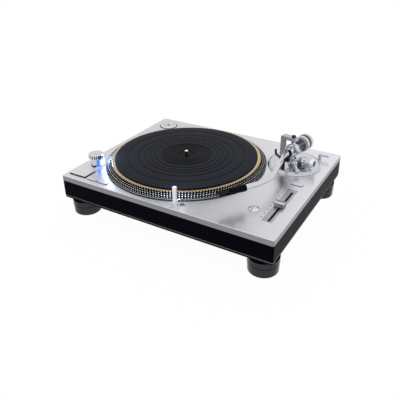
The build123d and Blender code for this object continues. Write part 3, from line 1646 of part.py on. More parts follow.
# Signal terminals: two round sockets and the earth screw on the tray's inner wall
tray_floor = Plane.XZ.offset(terminal_depth - tray_wall - half_depth)
terminal_mid = terminal_z + terminal_height / 2
jack_places = [
    (terminal_x + jack_spacing / 2, terminal_mid),
    (terminal_x + 3 * jack_spacing / 2, terminal_mid),
]
earth_place = (terminal_x - jack_spacing, terminal_mid)
with BuildPart() as signal_terminals:
    with BuildSketch(tray_floor):
        with Locations(*jack_places):
            Circle(jack_flange_radius)
        with Locations(earth_place):
            Circle(earth_nut_radius)
    extrude(amount=-jack_flange_thickness)
    with BuildSketch(tray_floor.offset(-jack_flange_thickness)):
        with Locations(*jack_places):
            Circle(jack_radius)
        with Locations(earth_place):
            Circle(earth_radius)
    extrude(amount=-jack_length)
    with BuildSketch(tray_floor.offset(-jack_flange_thickness)):
        with Locations(*jack_places):
            Circle(jack_bore_radius)
    extrude(amount=-jack_length, mode=Mode.SUBTRACT)
signal_terminals.part.label = "signal_terminals"
export_step(signal_terminals.part, "parts/signal_terminals.step")

# Mains inlet: the three-blade socket let into the rear wall
inlet_mid = terminal_z + inlet_height / 2
blade_places = [
    (inlet_x - blade_pitch, inlet_mid + blade_rise),
    (inlet_x, inlet_mid + 2 * blade_rise),
    (inlet_x + blade_pitch, inlet_mid + blade_rise),
]
with BuildPart() as mains_inlet:
    with BuildSketch(rear_wall):
        with Locations((inlet_x, inlet_mid)):
            Rectangle(inlet_width, inlet_height)
    extrude(amount=inlet_depth)
    with BuildSketch(rear_wall):
        with Locations((inlet_x, inlet_mid)):
            Rectangle(inlet_cavity_width, inlet_cavity_height)
    extrude(amount=inlet_cavity_depth, mode=Mode.SUBTRACT)
    with BuildSketch(rear_wall.offset(inlet_cavity_depth)):
        with Locations(*blade_places):
            Rectangle(blade_width, blade_height)
    extrude(amount=-blade_length)
mains_inlet.part.label = "mains_inlet"
export_step(mains_inlet.part, "parts/mains_inlet.step")
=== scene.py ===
"""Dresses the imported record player: its finishes, strobe dots, ribbed mat, scales and studio."""

import json
from math import cos, radians, sin, tau

import bmesh
import bpy
from mathutils import Matrix, Vector


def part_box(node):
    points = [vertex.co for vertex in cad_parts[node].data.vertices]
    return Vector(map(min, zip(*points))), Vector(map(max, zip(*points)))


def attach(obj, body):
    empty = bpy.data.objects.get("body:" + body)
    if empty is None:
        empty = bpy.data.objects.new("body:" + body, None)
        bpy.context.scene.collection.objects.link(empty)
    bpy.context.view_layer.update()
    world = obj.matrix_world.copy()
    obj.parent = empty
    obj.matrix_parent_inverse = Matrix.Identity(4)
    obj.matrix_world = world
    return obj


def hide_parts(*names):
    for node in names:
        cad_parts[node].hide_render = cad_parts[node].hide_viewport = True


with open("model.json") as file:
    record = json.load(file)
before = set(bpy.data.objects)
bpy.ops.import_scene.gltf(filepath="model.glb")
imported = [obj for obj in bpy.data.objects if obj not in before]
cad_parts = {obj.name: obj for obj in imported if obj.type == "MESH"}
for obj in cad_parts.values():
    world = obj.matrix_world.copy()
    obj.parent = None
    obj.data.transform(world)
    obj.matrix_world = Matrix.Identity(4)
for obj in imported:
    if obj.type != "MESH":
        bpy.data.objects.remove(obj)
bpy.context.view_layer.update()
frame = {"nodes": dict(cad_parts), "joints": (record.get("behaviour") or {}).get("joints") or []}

bl_info = {
    "name": "Record player finishes",
    "version": (1, 0, 0),
    "blender": (4, 5, 0),
    "location": "3D View > Sidebar > Record player",
    "description": "Finishes, strobe dots, mat, scales and studio for the packed record player",
    "category": "Object",
}

MM = 0.001
UP = Vector((0, 0, 1))
WHITE = (1, 1, 1, 1)

# How a brushed grain is stretched: its lines run along the axis with the small number
ALONG_X = (6, 2400, 2400)
ALONG_Y = (2400, 6, 2400)

JOINTS = {joint["name"]: joint for joint in frame["joints"]}


def joint_place(name):
    """A point on a joint's axis, in metres."""
    return Vector(JOINTS[name]["pos_m"])


def joint_axis(name):
    """The direction of a joint's axis."""
    return Vector(JOINTS[name]["axis"]).normalized()


def centre_of(node):
    """The middle of a CAD node's box."""
    low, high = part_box(node)
    return (low + high) / 2


def reaches(node, direction):
    """How far each corner of a CAD node's mesh lies along a direction."""
    return [corner.co.dot(direction) for corner in frame["nodes"][node].data.vertices]


PANEL_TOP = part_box("slider_plate")[1].z + 0.3 * MM
PLATTER = joint_place("platter_spin")
ARM_PIVOT = joint_place("arm_swing")
ARM_ACROSS = -joint_axis("arm_tilt")
ARM_ALONG = -joint_axis("weight_turn")
RING_CENTRE = joint_place("height_ring_turn")


class Field:
    """A socket whose value varies over a surface. Arithmetic on it adds Math nodes."""

    def __init__(self, recipe, socket):
        self.recipe = recipe
        self.socket = socket

    def math(self, operation, *others):
        terms = dict(enumerate((self, *others)))
        return self.recipe.node("ShaderNodeMath", {"operation": operation}, terms)

    def flipped(self, operation, other):
        return self.recipe.node("ShaderNodeMath", {"operation": operation}, {0: other, 1: self})

    def __add__(self, other):
        return self.math("ADD", other)

    def __radd__(self, other):
        return self.math("ADD", other)

    def __sub__(self, other):
        return self.math("SUBTRACT", other)

    def __rsub__(self, other):
        return self.flipped("SUBTRACT", other)

    def __mul__(self, other):
        return self.math("MULTIPLY", other)

    def __rmul__(self, other):
        return self.math("MULTIPLY", other)

    def __truediv__(self, other):
        return self.math("DIVIDE", other)

    def __rtruediv__(self, other):
        return self.flipped("DIVIDE", other)

    def __pow__(self, other):
        return self.math("POWER", other)

    def __gt__(self, other):
        return self.math("GREATER_THAN", other)

    def __lt__(self, other):
        return self.math("LESS_THAN", other)


class Recipe:
    """A node tree that is written as calls."""

    def __init__(self, tree):
        self.tree = tree

    def feed(self, socket, value):
        """Links a field, or several into a socket that takes many, or sets a plain value."""
        several = value if isinstance(value, list) else [value]
        for item in several:
            if isinstance(item, Field):
                self.tree.links.new(item.socket, socket)
            else:
                socket.default_value = item

    def node(self, kind, settings=None, inputs=None, output=0):
        """A node of a kind with its settings and sockets, as the field of one output."""
        made = self.tree.nodes.new(kind)
        for name, value in (settings or {}).items():
            if name == "stops":
                self.set_stops(made.color_ramp, value)
            else:
                setattr(made, name, value)
        for name, value in (inputs or {}).items():
            self.feed(made.inputs[name], value)
        return Field(self, made.outputs[output])

    def set_stops(self, ramp, stops):
        """Sets a ramp's stops from (position, grey or colour) pairs."""
        while len(ramp.elements) < len(stops):
            ramp.elements.new(1.0)
        for element, (position, value) in zip(ramp.elements, stops):
            element.position = position
            element.color = value if isinstance(value, tuple) else (value, value, value, 1)

    def vector(self, x, y, z):
        return self.node("ShaderNodeCombineXYZ", inputs={0: x, 1: y, 2: z})

    def split(self, vector):
        """The three numbers of a vector."""
        first = self.node("ShaderNodeSeparateXYZ", inputs={0: vector})
        return [Field(self, output) for output in first.socket.node.outputs]

    def times(self, vector, scale):
        """A vector stretched by three numbers."""
        return self.node("ShaderNodeVectorMath", {"operation": "MULTIPLY"}, {0: vector, 1: scale})

    def dot(self, vector, direction):
        """How far a vector reaches along a fixed direction."""
        return self.node(
            "ShaderNodeVectorMath", {"operation": "DOT_PRODUCT"}, {0: vector, 1: direction}, "Value"
        )


class Finish(Recipe):
    """One procedural surface finish."""

    def __init__(self, name, **constants):
        self.material = bpy.data.materials.new(name)
        self.material.use_nodes = True
        super().__init__(self.material.node_tree)
        self.tree.nodes.clear()
        self.surface = self.tree.nodes.new("ShaderNodeBsdfPrincipled")
        output = self.tree.nodes.new("ShaderNodeOutputMaterial")
        self.tree.links.new(self.surface.outputs[0], output.inputs[0])
        for name, value in constants.items():
            self.set(name.replace("_", " "), value)

    def set(self, name, value):
        """Sets or links one socket of the surface by its name, in any case."""
        found = [s for s in self.surface.inputs if s.name.lower() == name.lower()]
        self.feed(found[0], value)

    def place(self):
        """The point in the piece's own axes, in metres."""
        return self.node("ShaderNodeTexCoord", output="Object")

    def from_centre(self, centre):
        """The point measured from a fixed centre."""
        return self.node(
            "ShaderNodeVectorMath",
            {"operation": "SUBTRACT"},
            {0: self.place(), 1: tuple(centre)},
        )

    def normal(self):
        """The direction that the surface faces."""
        return self.node("ShaderNodeNewGeometry", output="Normal")

    def upward(self):
        """How far the surface faces up."""
        return self.split(self.normal())[2]

    def noise(self, vector, scale, detail=3.0, roughness=0.5):
        return self.node(
            "ShaderNodeTexNoise",
            inputs={"Vector": vector, "Scale": scale, "Detail": detail, "Roughness": roughness},
        )

    def brushed(self, grain):
        """The fine parallel lines of brushed metal."""
        return self.noise(self.times(self.place(), grain), 1.0, 4.0, 0.7)

    def rings(self, centre, per_metre):
        """The radius and height from a centre, and the fine rings that a lathe leaves there."""
        x, y, z = self.split(self.from_centre(centre))
        radius = (x * x + y * y) ** 0.5
        lines = self.vector(radius * per_metre, z * per_metre, 0.0)
        return radius, z, self.noise(lines, 1.0, 3.0, 0.6)

    def smears(self):
        """The faint wiped patches of plated metal."""
        return self.noise(self.place(), 90.0, 4.0, 0.6)

    def pores(self):
        """Rubber's fine pores and its clouds of dust."""
        fine = self.noise(self.place(), 1500.0, 4.0, 0.65)
        return fine, self.noise(self.place(), 35.0, 4.0)

    def band(self, value, low, high, soft):
        """1 between two limits, falling to 0 over a soft edge outside each."""
        rise = self.node(
            "ShaderNodeMapRange",
            {"clamp": True},
            {"Value": value, "From Min": low - soft, "From Max": low},
        )
        fall = self.node(
            "ShaderNodeMapRange",
            {"clamp": True},
            {"Value": value, "From Min": high + soft, "From Max": high},
        )
        return rise * fall

    def mix(self, factor, first, second):
        """One colour turning into another."""
        return self.node(
            "ShaderNodeMix", {"data_type": "RGBA"}, {0: factor, 6: first, 7: second}, 2
        )

    def shade(self, colour, factor, spread):
        """A colour made lighter and darker by a number round one half."""
        dark = tuple(c * (1 - spread) for c in colour) + (1,)
        light = tuple(min(1, c * (1 + spread)) for c in colour) + (1,)
        return self.mix(factor, dark, light)

    def done(self, colour, roughness, relief=None, depth=0.0, strength=0.5):
        """Sets the colour, the roughness and any relief, its depth in metres."""
        self.set("Base Color", colour)
        self.set("Roughness", roughness)
        if relief is not None:
            inputs = {"Strength": strength, "Distance": depth, "Height": relief}
            self.set("Normal", self.node("ShaderNodeBump", inputs=inputs))
        return self.material


def hairline_metal(name, colour, grain):
    """Brushed metal whose sides carry painted shade: they are coloured darker than its top."""
    finish = Finish(name, metallic=0.94)
    lines = finish.brushed(grain)
    cloud = finish.noise(finish.place(), 14.0, 2.0)
    grey = 0.6 * lines + 0.4 * cloud
    # painted shade: the sides take a third of the top's colour
    painted_shade_sides = finish.shade(tuple(c * 0.33 for c in colour), grey, 0.05)
    top = finish.upward() > 0.5
    return finish.done(
        finish.mix(top, painted_shade_sides, finish.shade(colour, grey, 0.05)),
        0.3 + 0.14 * (lines - 0.5) + 0.08 * (cloud - 0.5),
        lines,
        0.003 * MM,
    )


def turned_metal(name, colour, centre, gloss=0.2, lines_per_mm=3.0, spread=0.06):
    """Metal turned on a lathe about a vertical axis: fine rings round it."""
    finish = Finish(name, metallic=1.0)
    rings = finish.rings(centre, 1000 * lines_per_mm)[2]
    cloud = finish.noise(finish.place(), 30.0, 2.0)
    return finish.done(
        finish.shade(colour, 0.6 * rings + 0.4 * cloud, spread),
        gloss + 0.12 * (rings - 0.5) + 0.06 * (cloud - 0.5),
        rings,
        0.006 * MM,
    )


def fluted_metal(name, colour, centre, count):
    """Plated metal with painted shade: the hollows between the flutes round a knob's side are
    coloured dark.
    """
    finish = Finish(name, metallic=1.0)
    x, y, _ = finish.split(finish.from_centre(centre))
    # painted shade in the hollows between the flutes
    painted_flute_shade = (y.math("ARCTAN2", x) * count).math("COSINE") > 0.15
    side = 1.0 - (finish.upward() > 0.6)
    smears = finish.smears()
    bright = finish.shade(colour, smears, 0.05)
    return finish.done(
        finish.mix(painted_flute_shade * side, bright, (0.05, 0.055, 0.08, 1)), 0.12 + 0.1 * (smears - 0.45)
    )


def faced_dial(name, silver, dark, centre, axis, face_radius):
    """A bright knob whose end face holds a dark window."""
    finish = Finish(name)
    offset = finish.from_centre(centre)
    along = finish.dot(offset, tuple(axis))
    reach = finish.dot(offset, offset) - along * along
    facing = finish.dot(finish.normal(), tuple(axis)) > 0.7
    window = facing * (reach < face_radius * face_radius)
    smears = finish.smears()
    bright = finish.shade(silver, smears, 0.05)
    finish.set("Metallic", 1.0 - window)
    return finish.done(
        finish.mix(window, bright, finish.shade(dark, smears, 0.2)), 0.14 + 0.1 * (smears - 0.45)
    )


def polished_metal(name, colour, gloss=0.08):
    """Plated metal with faint smears."""
    finish = Finish(name, metallic=1.0)
    smears = finish.smears()
    return finish.done(finish.shade(colour, smears, 0.05), gloss + 0.1 * (smears - 0.45))


def tipped_metal(name, colour, height):
    """Metal with a high polish whose colour is darkened below a height: painted shade at its foot.
    """
    finish = Finish(name, metallic=1.0)
    z = finish.split(finish.place())[2]
    smears = finish.smears()
    bright = finish.shade(colour, smears, 0.05)
    # painted shade: the dark colour below the height, at the foot
    mottled_tone = finish.shade((0.06, 0.06, 0.07), smears, 0.1)
    return finish.done(finish.mix(z > height, mottled_tone, bright), 0.1 + 0.1 * (smears - 0.45))


def satin_metal(name, colour, gloss=0.26, metallic=1.0):
    """Fine blasted and anodised metal."""
    finish = Finish(name, metallic=metallic)
    grain = finish.noise(finish.place(), 4200.0, 2.0)
    cloud = finish.noise(finish.place(), 60.0, 3.0)
    return finish.done(
        finish.shade(colour, 0.5 * grain + 0.5 * cloud, 0.06),
        gloss + 0.1 * (cloud - 0.5) + 0.06 * (grain - 0.5),
        grain,
        0.008 * MM,
    )


def moulded_plastic(name, colour, gloss=0.42, specular=0.25):
    """Moulded plastic with a fine spark texture."""
    finish = Finish(name, specular_ior_level=specular)
    grain = finish.noise(finish.place(), 2600.0, 3.0)
    cloud = finish.noise(finish.place(), 45.0, 3.0)
    return finish.done(
        finish.shade(colour, 0.4 * grain + 0.6 * cloud, 0.2),
        gloss + 0.12 * (grain - 0.5) + 0.1 * (cloud - 0.5),
        grain,
        0.02 * MM,
        0.6,
    )


def black_paint(name, colour):
    """Satin black paint with a slight orange peel."""
    finish = Finish(name, specular_ior_level=0.015, specular_tint=(0.72, 0.76, 1.0, 1.0))
    peel = finish.noise(finish.place(), 700.0, 2.0)
    cloud = finish.noise(finish.place(), 22.0, 3.0)
    return finish.done(
        finish.shade(colour, cloud, 0.25), 0.36 + 0.14 * (cloud - 0.5), peel, 0.01 * MM, 0.4
    )


def rubber(name, colour):
    """Matte rubber with dust and fine pores."""
    finish = Finish(name, specular_ior_level=0.1)
    pores, cloud = finish.pores()
    return finish.done(
        finish.shade(colour, 0.5 * pores + 0.5 * cloud, 0.3),
        0.62 + 0.16 * (cloud - 0.5) + 0.08 * (pores - 0.5),
        pores,
        0.03 * MM,
        0.6,
    )


def edged_rubber(name, colour, edge, low, high):
    """Rubber with a painted highlight: a bright line between two heights."""
    finish = Finish(name, specular_ior_level=0.1)
    pores, cloud = finish.pores()
    # painted highlight: between the two heights the colour turns to the edge colour and the rubber
    # is smoother
    line = finish.band(finish.split(finish.place())[2], low, high, 0.1 * MM)
    body = finish.shade(colour, 0.5 * pores + 0.5 * cloud, 0.3)
    return finish.done(
        finish.mix(line, body, finish.shade(edge, cloud, 0.1)),
        0.6 - 0.2 * line + 0.1 * (cloud - 0.5),
        pores,
        0.03 * MM,
        0.6,
    )


def mat_rubber(name, colour, top, depth):
    """The mat's rubber: moulding rings, settled dust, and painted shade, darker deep in its
    grooves.
    """
    finish = Finish(name, specular_ior_level=0.04)
    x, y, z = finish.split(finish.from_centre(PLATTER))
    radius = (x * x + y * y) ** 0.5
    rings = finish.noise(finish.vector(radius * 900, 0.0, 0.0), 1.0, 3.0, 0.6)
    pores = finish.noise(finish.place(), 1800.0, 3.0, 0.6)
    cloud = finish.noise(finish.place(), 26.0, 4.0)
    face = finish.band(z, top - depth * 0.35, top, depth * 0.3)
    # painted shade: below the face the grooves are coloured far darker
    deep = tuple(c * 0.15 for c in colour) + (1,)
    mottled_tone = finish.shade(colour, 0.35 * rings + 0.3 * pores + 0.35 * cloud, 0.3)
    return finish.done(
        finish.mix(face, deep, mottled_tone),
        0.42 + 0.16 * (cloud - 0.5) + 0.1 * (rings - 0.5),
        0.6 * rings + 0.4 * pores,
        0.02 * MM,
    )


def platter_metal(name, golden, dark, cone_radius):
    """The platter: golden inside, black on its cone under the strobe dots, silver below it."""
    finish = Finish(name, specular_ior_level=0.02)
    radius, height, rings = finish.rings(PLATTER, 2600)
    outside = radius > cone_radius
    track = outside * (height > 3.3 * MM)
    silver = finish.shade((0.5, 0.5, 0.53), rings, 0.06)
    bright = finish.mix(outside, finish.shade(golden, rings, 0.06), silver)
    finish.set("Metallic", 1.0 - track)
    return finish.done(
        finish.mix(track, bright, finish.shade(dark, rings, 0.3)),
        0.24 + 0.36 * track + 0.1 * (rings - 0.5),
        rings,
        0.01 * MM,
    )


def skirted_key(name, colour):
    """A key with a brushed metal cap over black sides, which stand partly for a black skirt and
    partly for painted shade in the gap round it.
    """
    finish = Finish(name)
    top = finish.upward() > 0.35
    lines = finish.brushed(ALONG_X)
    cap = finish.shade(colour, lines, 0.05)
    finish.set("Metallic", top * 1.0)
    # the black sides: partly a black skirt, partly painted shade of the gap
    return finish.done(
        finish.mix(top, (0.008, 0.008, 0.009, 1), cap),
        0.3 + 0.12 * (lines - 0.5),
        lines,
        0.004 * MM,
    )


def ridged_cap(name, bright, dull, centre):
    """A slider's cap: the near half of its top is coloured bright, a painted highlight, and the
    rest is dull.
    """
    finish = Finish(name)
    y = finish.split(finish.from_centre(centre))[1]
    # painted highlight: the near half of the top
    near = (finish.upward() > 0.5) * (y < 1.5 * MM)
    lines = finish.brushed(ALONG_X)
    painted_highlight_top = finish.shade(bright, lines, 0.05)
    finish.set("Metallic", 0.8 + 0.15 * near)
    return finish.done(
        finish.mix(near, finish.shade(dull, lines, 0.1), painted_highlight_top), 0.3 + 0.12 * (lines - 0.5)
    )


def banded_weight(name, silver, band_start, band_end):
    """The counterweight: bright turned metal with a black grip band."""
    finish = Finish(name)
    back = finish.dot(finish.from_centre(ARM_PIVOT), tuple(-ARM_ALONG))
    cloud = finish.noise(finish.place(), 90.0, 4.0)
    grip = finish.band(back, band_start, band_end, 0.1 * MM)
    bright = finish.shade(silver, cloud, 0.05)
    finish.set("Metallic", 1.0 - grip)
    return finish.done(
        finish.mix(grip, bright, (0.012, 0.012, 0.014, 1)), 0.1 + 0.1 * (cloud - 0.5) + 0.35 * grip
    )


def glow_lens(name, colour, strength, centre, reach):
    """A lit lens: white at its middle, deep blue at its edge, with cut facets."""
    finish = Finish(name, emission_strength=strength)
    offset = finish.from_centre(centre)
    away = finish.node("ShaderNodeVectorMath", {"operation": "LENGTH"}, {0: offset}, "Value")
    facets = finish.node(
        "ShaderNodeTexVoronoi", inputs={"Vector": finish.place(), "Scale": 320.0}, output="Color"
    )
    spread = away / reach + 0.25 * (finish.split(facets)[0] - 0.5)
    stops = ((0.0, (1, 1, 1, 1)), (0.35, (0.75, 0.88, 1, 1)), (1.0, (*colour, 1)))
    light = finish.node("ShaderNodeValToRGB", {"stops": stops}, {"Fac": spread})
    finish.set("Emission Color", light)
    return finish.done(finish.shade(colour, spread, 0.1), 0.08 + 0.06 * spread)


def circuit_board(name, colour):
    """Green solder resist over a maze of traces."""
    finish = Finish(name)
    cells = finish.node(
        "ShaderNodeTexVoronoi",
        {"distance": "MANHATTAN", "feature": "DISTANCE_TO_EDGE"},
        {"Vector": finish.place(), "Scale": 190.0},
    )
    trace = cells < 0.06
    speck = finish.noise(finish.place(), 1200.0, 2.0)
    green = finish.shade(colour, speck, 0.2)
    return finish.done(
        finish.mix(trace, green, (0.08, 0.32, 0.13, 1)),
        0.34 + 0.1 * (speck - 0.5),
        trace * 1.0,
        0.03 * MM,
        0.7,
    )


def wound_copper(name, colour):
    """Enamelled copper wire laid in fine turns."""
    finish = Finish(name, metallic=1.0)
    x, y, _ = finish.split(finish.from_centre(PLATTER))
    turns = ((x * x + y * y) ** 0.5 * 14000).math("SINE") * 0.5 + 0.5
    speck = finish.noise(finish.place(), 900.0, 2.0)
    return finish.done(
        finish.shade(colour, 0.7 * turns + 0.3 * speck, 0.3),
        0.28 + 0.14 * (speck - 0.5),
        turns,
        0.1 * MM,
        0.7,
    )


def ink(name, colour):
    """Printed or filled marks."""
    finish = Finish(name)
    speck = finish.noise(finish.place(), 1800.0, 2.0)
    return finish.done(finish.shade(colour, speck, 0.12), 0.4 + 0.2 * (speck - 0.5))


class Pattern(Recipe):
    """A Geometry Nodes tree with named inputs that grows what repeats on one piece."""

    def __init__(self, name, sizes):
        super().__init__(bpy.data.node_groups.new(name, "GeometryNodeTree"))
        face = self.tree.interface
        face.new_socket("Geometry", in_out="OUTPUT", socket_type="NodeSocketGeometry")
        for label, (kind, value) in sizes.items():
            made = face.new_socket(label, in_out="INPUT", socket_type="NodeSocket" + kind)
            made.default_value = value
        self.sizes = {label: value for label, (kind, value) in sizes.items()}
        self.given = self.tree.nodes.new("NodeGroupInput")

    def size(self, label):
        """A named input of the tree."""
        return Field(self, self.given.outputs[label])

    def moved(self, geometry, offset=(0, 0, 0), scale=(1, 1, 1)):
        """A geometry moved and stretched."""
        return self.node(
            "GeometryNodeTransform",
            inputs={"Geometry": geometry, "Translation": offset, "Scale": scale},
        )

    def circle(self, shape, count, radius, lean):
        """A shape repeated round the vertical, leaning outwards."""
        angle = self.node("GeometryNodeInputIndex") * (tau / count)
        spot = self.vector(angle.math("COSINE") * radius, angle.math("SINE") * radius, 0.0)
        points = self.node("GeometryNodePoints", inputs={"Count": count, "Position": spot})
        return self.node(
            "GeometryNodeInstanceOnPoints",
            inputs={
                "Points": points,
                "Instance": shape,
                "Rotation": self.vector(0.0, lean, angle),
            },
        )

    def row(self, shape, count, step):
        """A shape repeated in a straight row."""
        line = self.node("GeometryNodeMeshLine", inputs={"Count": count, "Offset": step})
        return self.node(
            "GeometryNodeInstanceOnPoints", inputs={"Points": line, "Instance": shape}
        )

    def finish(self, geometries, material):
        """Joins, realizes and gives the material, and ends the tree."""
        joined = self.node("GeometryNodeJoinGeometry", inputs={0: geometries})
        solid = self.node("GeometryNodeRealizeInstances", inputs={0: joined})
        painted = self.node(
            "GeometryNodeSetMaterial", inputs={"Geometry": solid, "Material": material}
        )
        output = self.tree.nodes.new("NodeGroupOutput")
        self.tree.links.new(painted.socket, output.inputs[0])


def linked(name, mesh):
    """A new object for a mesh, in the scene."""
    piece = bpy.data.objects.new(name, mesh)
    bpy.context.scene.collection.objects.link(piece)
    return piece


def bridge(work, near, far, closed=True):
    """Faces between two equal rows of corners, which may close into loops."""
    count = len(near)
    for k in range(count if closed else count - 1):
        after = (k + 1) % count
        corners = list(dict.fromkeys([near[k], near[after], far[after], far[k]]))
        if len(corners) > 2:
            work.faces.new(corners)


def modelled(name, work, material):
    """A new object of one material from what was modelled."""
    mesh = bpy.data.meshes.new(name)
    work.to_mesh(mesh)
    work.free()
    mesh.materials.append(material)
    return linked(name, mesh)


def grown(name, pattern, place=None):
    """The plain mesh that a pattern grows, set in place."""
    host = linked(name + "_host", bpy.data.meshes.new(name + "_host"))
    modifier = host.modifiers.new("pattern", "NODES")
    modifier.node_group = pattern.tree
    for item in pattern.tree.interface.items_tree:
        if item.in_out == "INPUT":
            modifier[item.identifier] = pattern.sizes[item.name]
    bpy.context.view_layer.update()
    evaluated = host.evaluated_get(bpy.context.evaluated_depsgraph_get())
    mesh = bpy.data.meshes.new_from_object(evaluated)
    host.modifiers.remove(modifier)
    bpy.data.objects.remove(host)
    if place is not None:
        mesh.transform(place)
    return linked(name, mesh)


def settle(piece, body, replaced=()):
    """Rides a finished piece on its body and hides the CAD nodes that it stands for."""
    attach(piece, body)
    if replaced:
        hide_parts(*replaced)


def axes_at(origin, x_axis, z_axis):
    """The matrix of a place with its own x and z directions."""
    z = Vector(z_axis).normalized()
    x = (Vector(x_axis) - z * Vector(x_axis).dot(z)).normalized()
    y = z.cross(x)
    place = Matrix((x, y, z)).transposed().to_4x4()
    place.translation = Vector(origin)
    return place


def lathe(name, outline, place, material, steps, smooth_angle=0.6):
    """A closed outline of (radius, height) points turned about the place's own z axis."""
    on_axis = 1e-7
    turns = [(cos(tau * k / steps), sin(tau * k / steps)) for k in range(steps)]
    work = bmesh.new()
    rings = []
    for radius, height in outline:
        if radius < on_axis:
            rings.append([work.verts.new((0, 0, height))] * steps)
        else:
            rings.append([work.verts.new((radius * x, radius * y, height)) for x, y in turns])
    for near, far in zip(rings, rings[1:] + rings[:1]):
        bridge(work, near, far)
    bmesh.ops.recalc_face_normals(work, faces=work.faces)
    piece = modelled(name, work, material)
    smooth(piece.data, smooth_angle)
    piece.data.transform(place)
    return piece


def smooth(mesh, angle):
    """Smooth shading with sharp edges where faces meet at more than an angle."""
    mesh.shade_smooth()
    work = bmesh.new()
    work.from_mesh(mesh)
    for edge in work.edges:
        edge.smooth = len(edge.link_faces) == 2 and edge.calc_face_angle(0) < angle
    work.to_mesh(mesh)
    work.free()


def numerals(name, marks, size, material):
    """Raised numbers, each given as its text and its place, joined into one mesh."""
    work = bmesh.new()
    for text, place in marks:
        curve = bpy.data.curves.new(name, "FONT")
        curve.body = text
        curve.size = size
        curve.extrude = 0.03 * MM
        curve.align_x = "CENTER"
        curve.align_y = "CENTER"
        curve.resolution_u = 2
        host = linked(name + "_text", curve)
        bpy.context.view_layer.update()
        evaluated = host.evaluated_get(bpy.context.evaluated_depsgraph_get())
        shape = bpy.data.meshes.new_from_object(evaluated)
        shape.transform(place)
        work.from_mesh(shape)
        bpy.data.objects.remove(host)
        bpy.data.meshes.remove(shape)
    return modelled(name, work, material)


def length(name, description, default):
    """A size in metres that a user would change."""
    return bpy.props.FloatProperty(
        name=name, description=description, default=default, unit="LENGTH"
    )


def colour(name, description, default):
    """A colour that a user would change."""
    return bpy.props.FloatVectorProperty(
        name=name, description=description, default=default, subtype="COLOR", size=3
    )


class PlayerSizes(bpy.types.PropertyGroup):
    """Sizes that a user would change."""

    dots_outer: bpy.props.IntProperty(
        name="Outer row dots",
        description="Dots in the lowest strobe row",
        default=191,
        min=24,
    )
    dots_step: bpy.props.IntProperty(
        name="Dots fewer per row",
        description="How many fewer dots each higher row has",
        default=6,
    )
    dot_width: length("Dot width", "Width of a strobe dot", 2.5 * MM)
    dot_rise: length("Dot rise", "How far a strobe dot stands out", 0.4 * MM)
    groove_depth: length("Mat groove depth", "Depth of the mat's rings", 0.9 * MM)
    rib_pitch: length("Mat rib pitch", "Spacing of the mat's inner ribs", 4.0 * MM)


class PlayerColours(bpy.types.PropertyGroup):
    """Colours that a user would change."""

    panel: colour("Panel", "Brushed top panel", (0.78, 0.78, 0.825))
    shell: colour("Shell", "Painted base", (0.0036, 0.0043, 0.0092))
    mat: colour("Mat", "Rubber mat", (0.02, 0.0225, 0.033))
    brass: colour("Brass", "Platter's brass plate", (0.66, 0.5, 0.27))
    glow: colour("Glow", "Strobe and target light", (0.02, 0.09, 0.75))


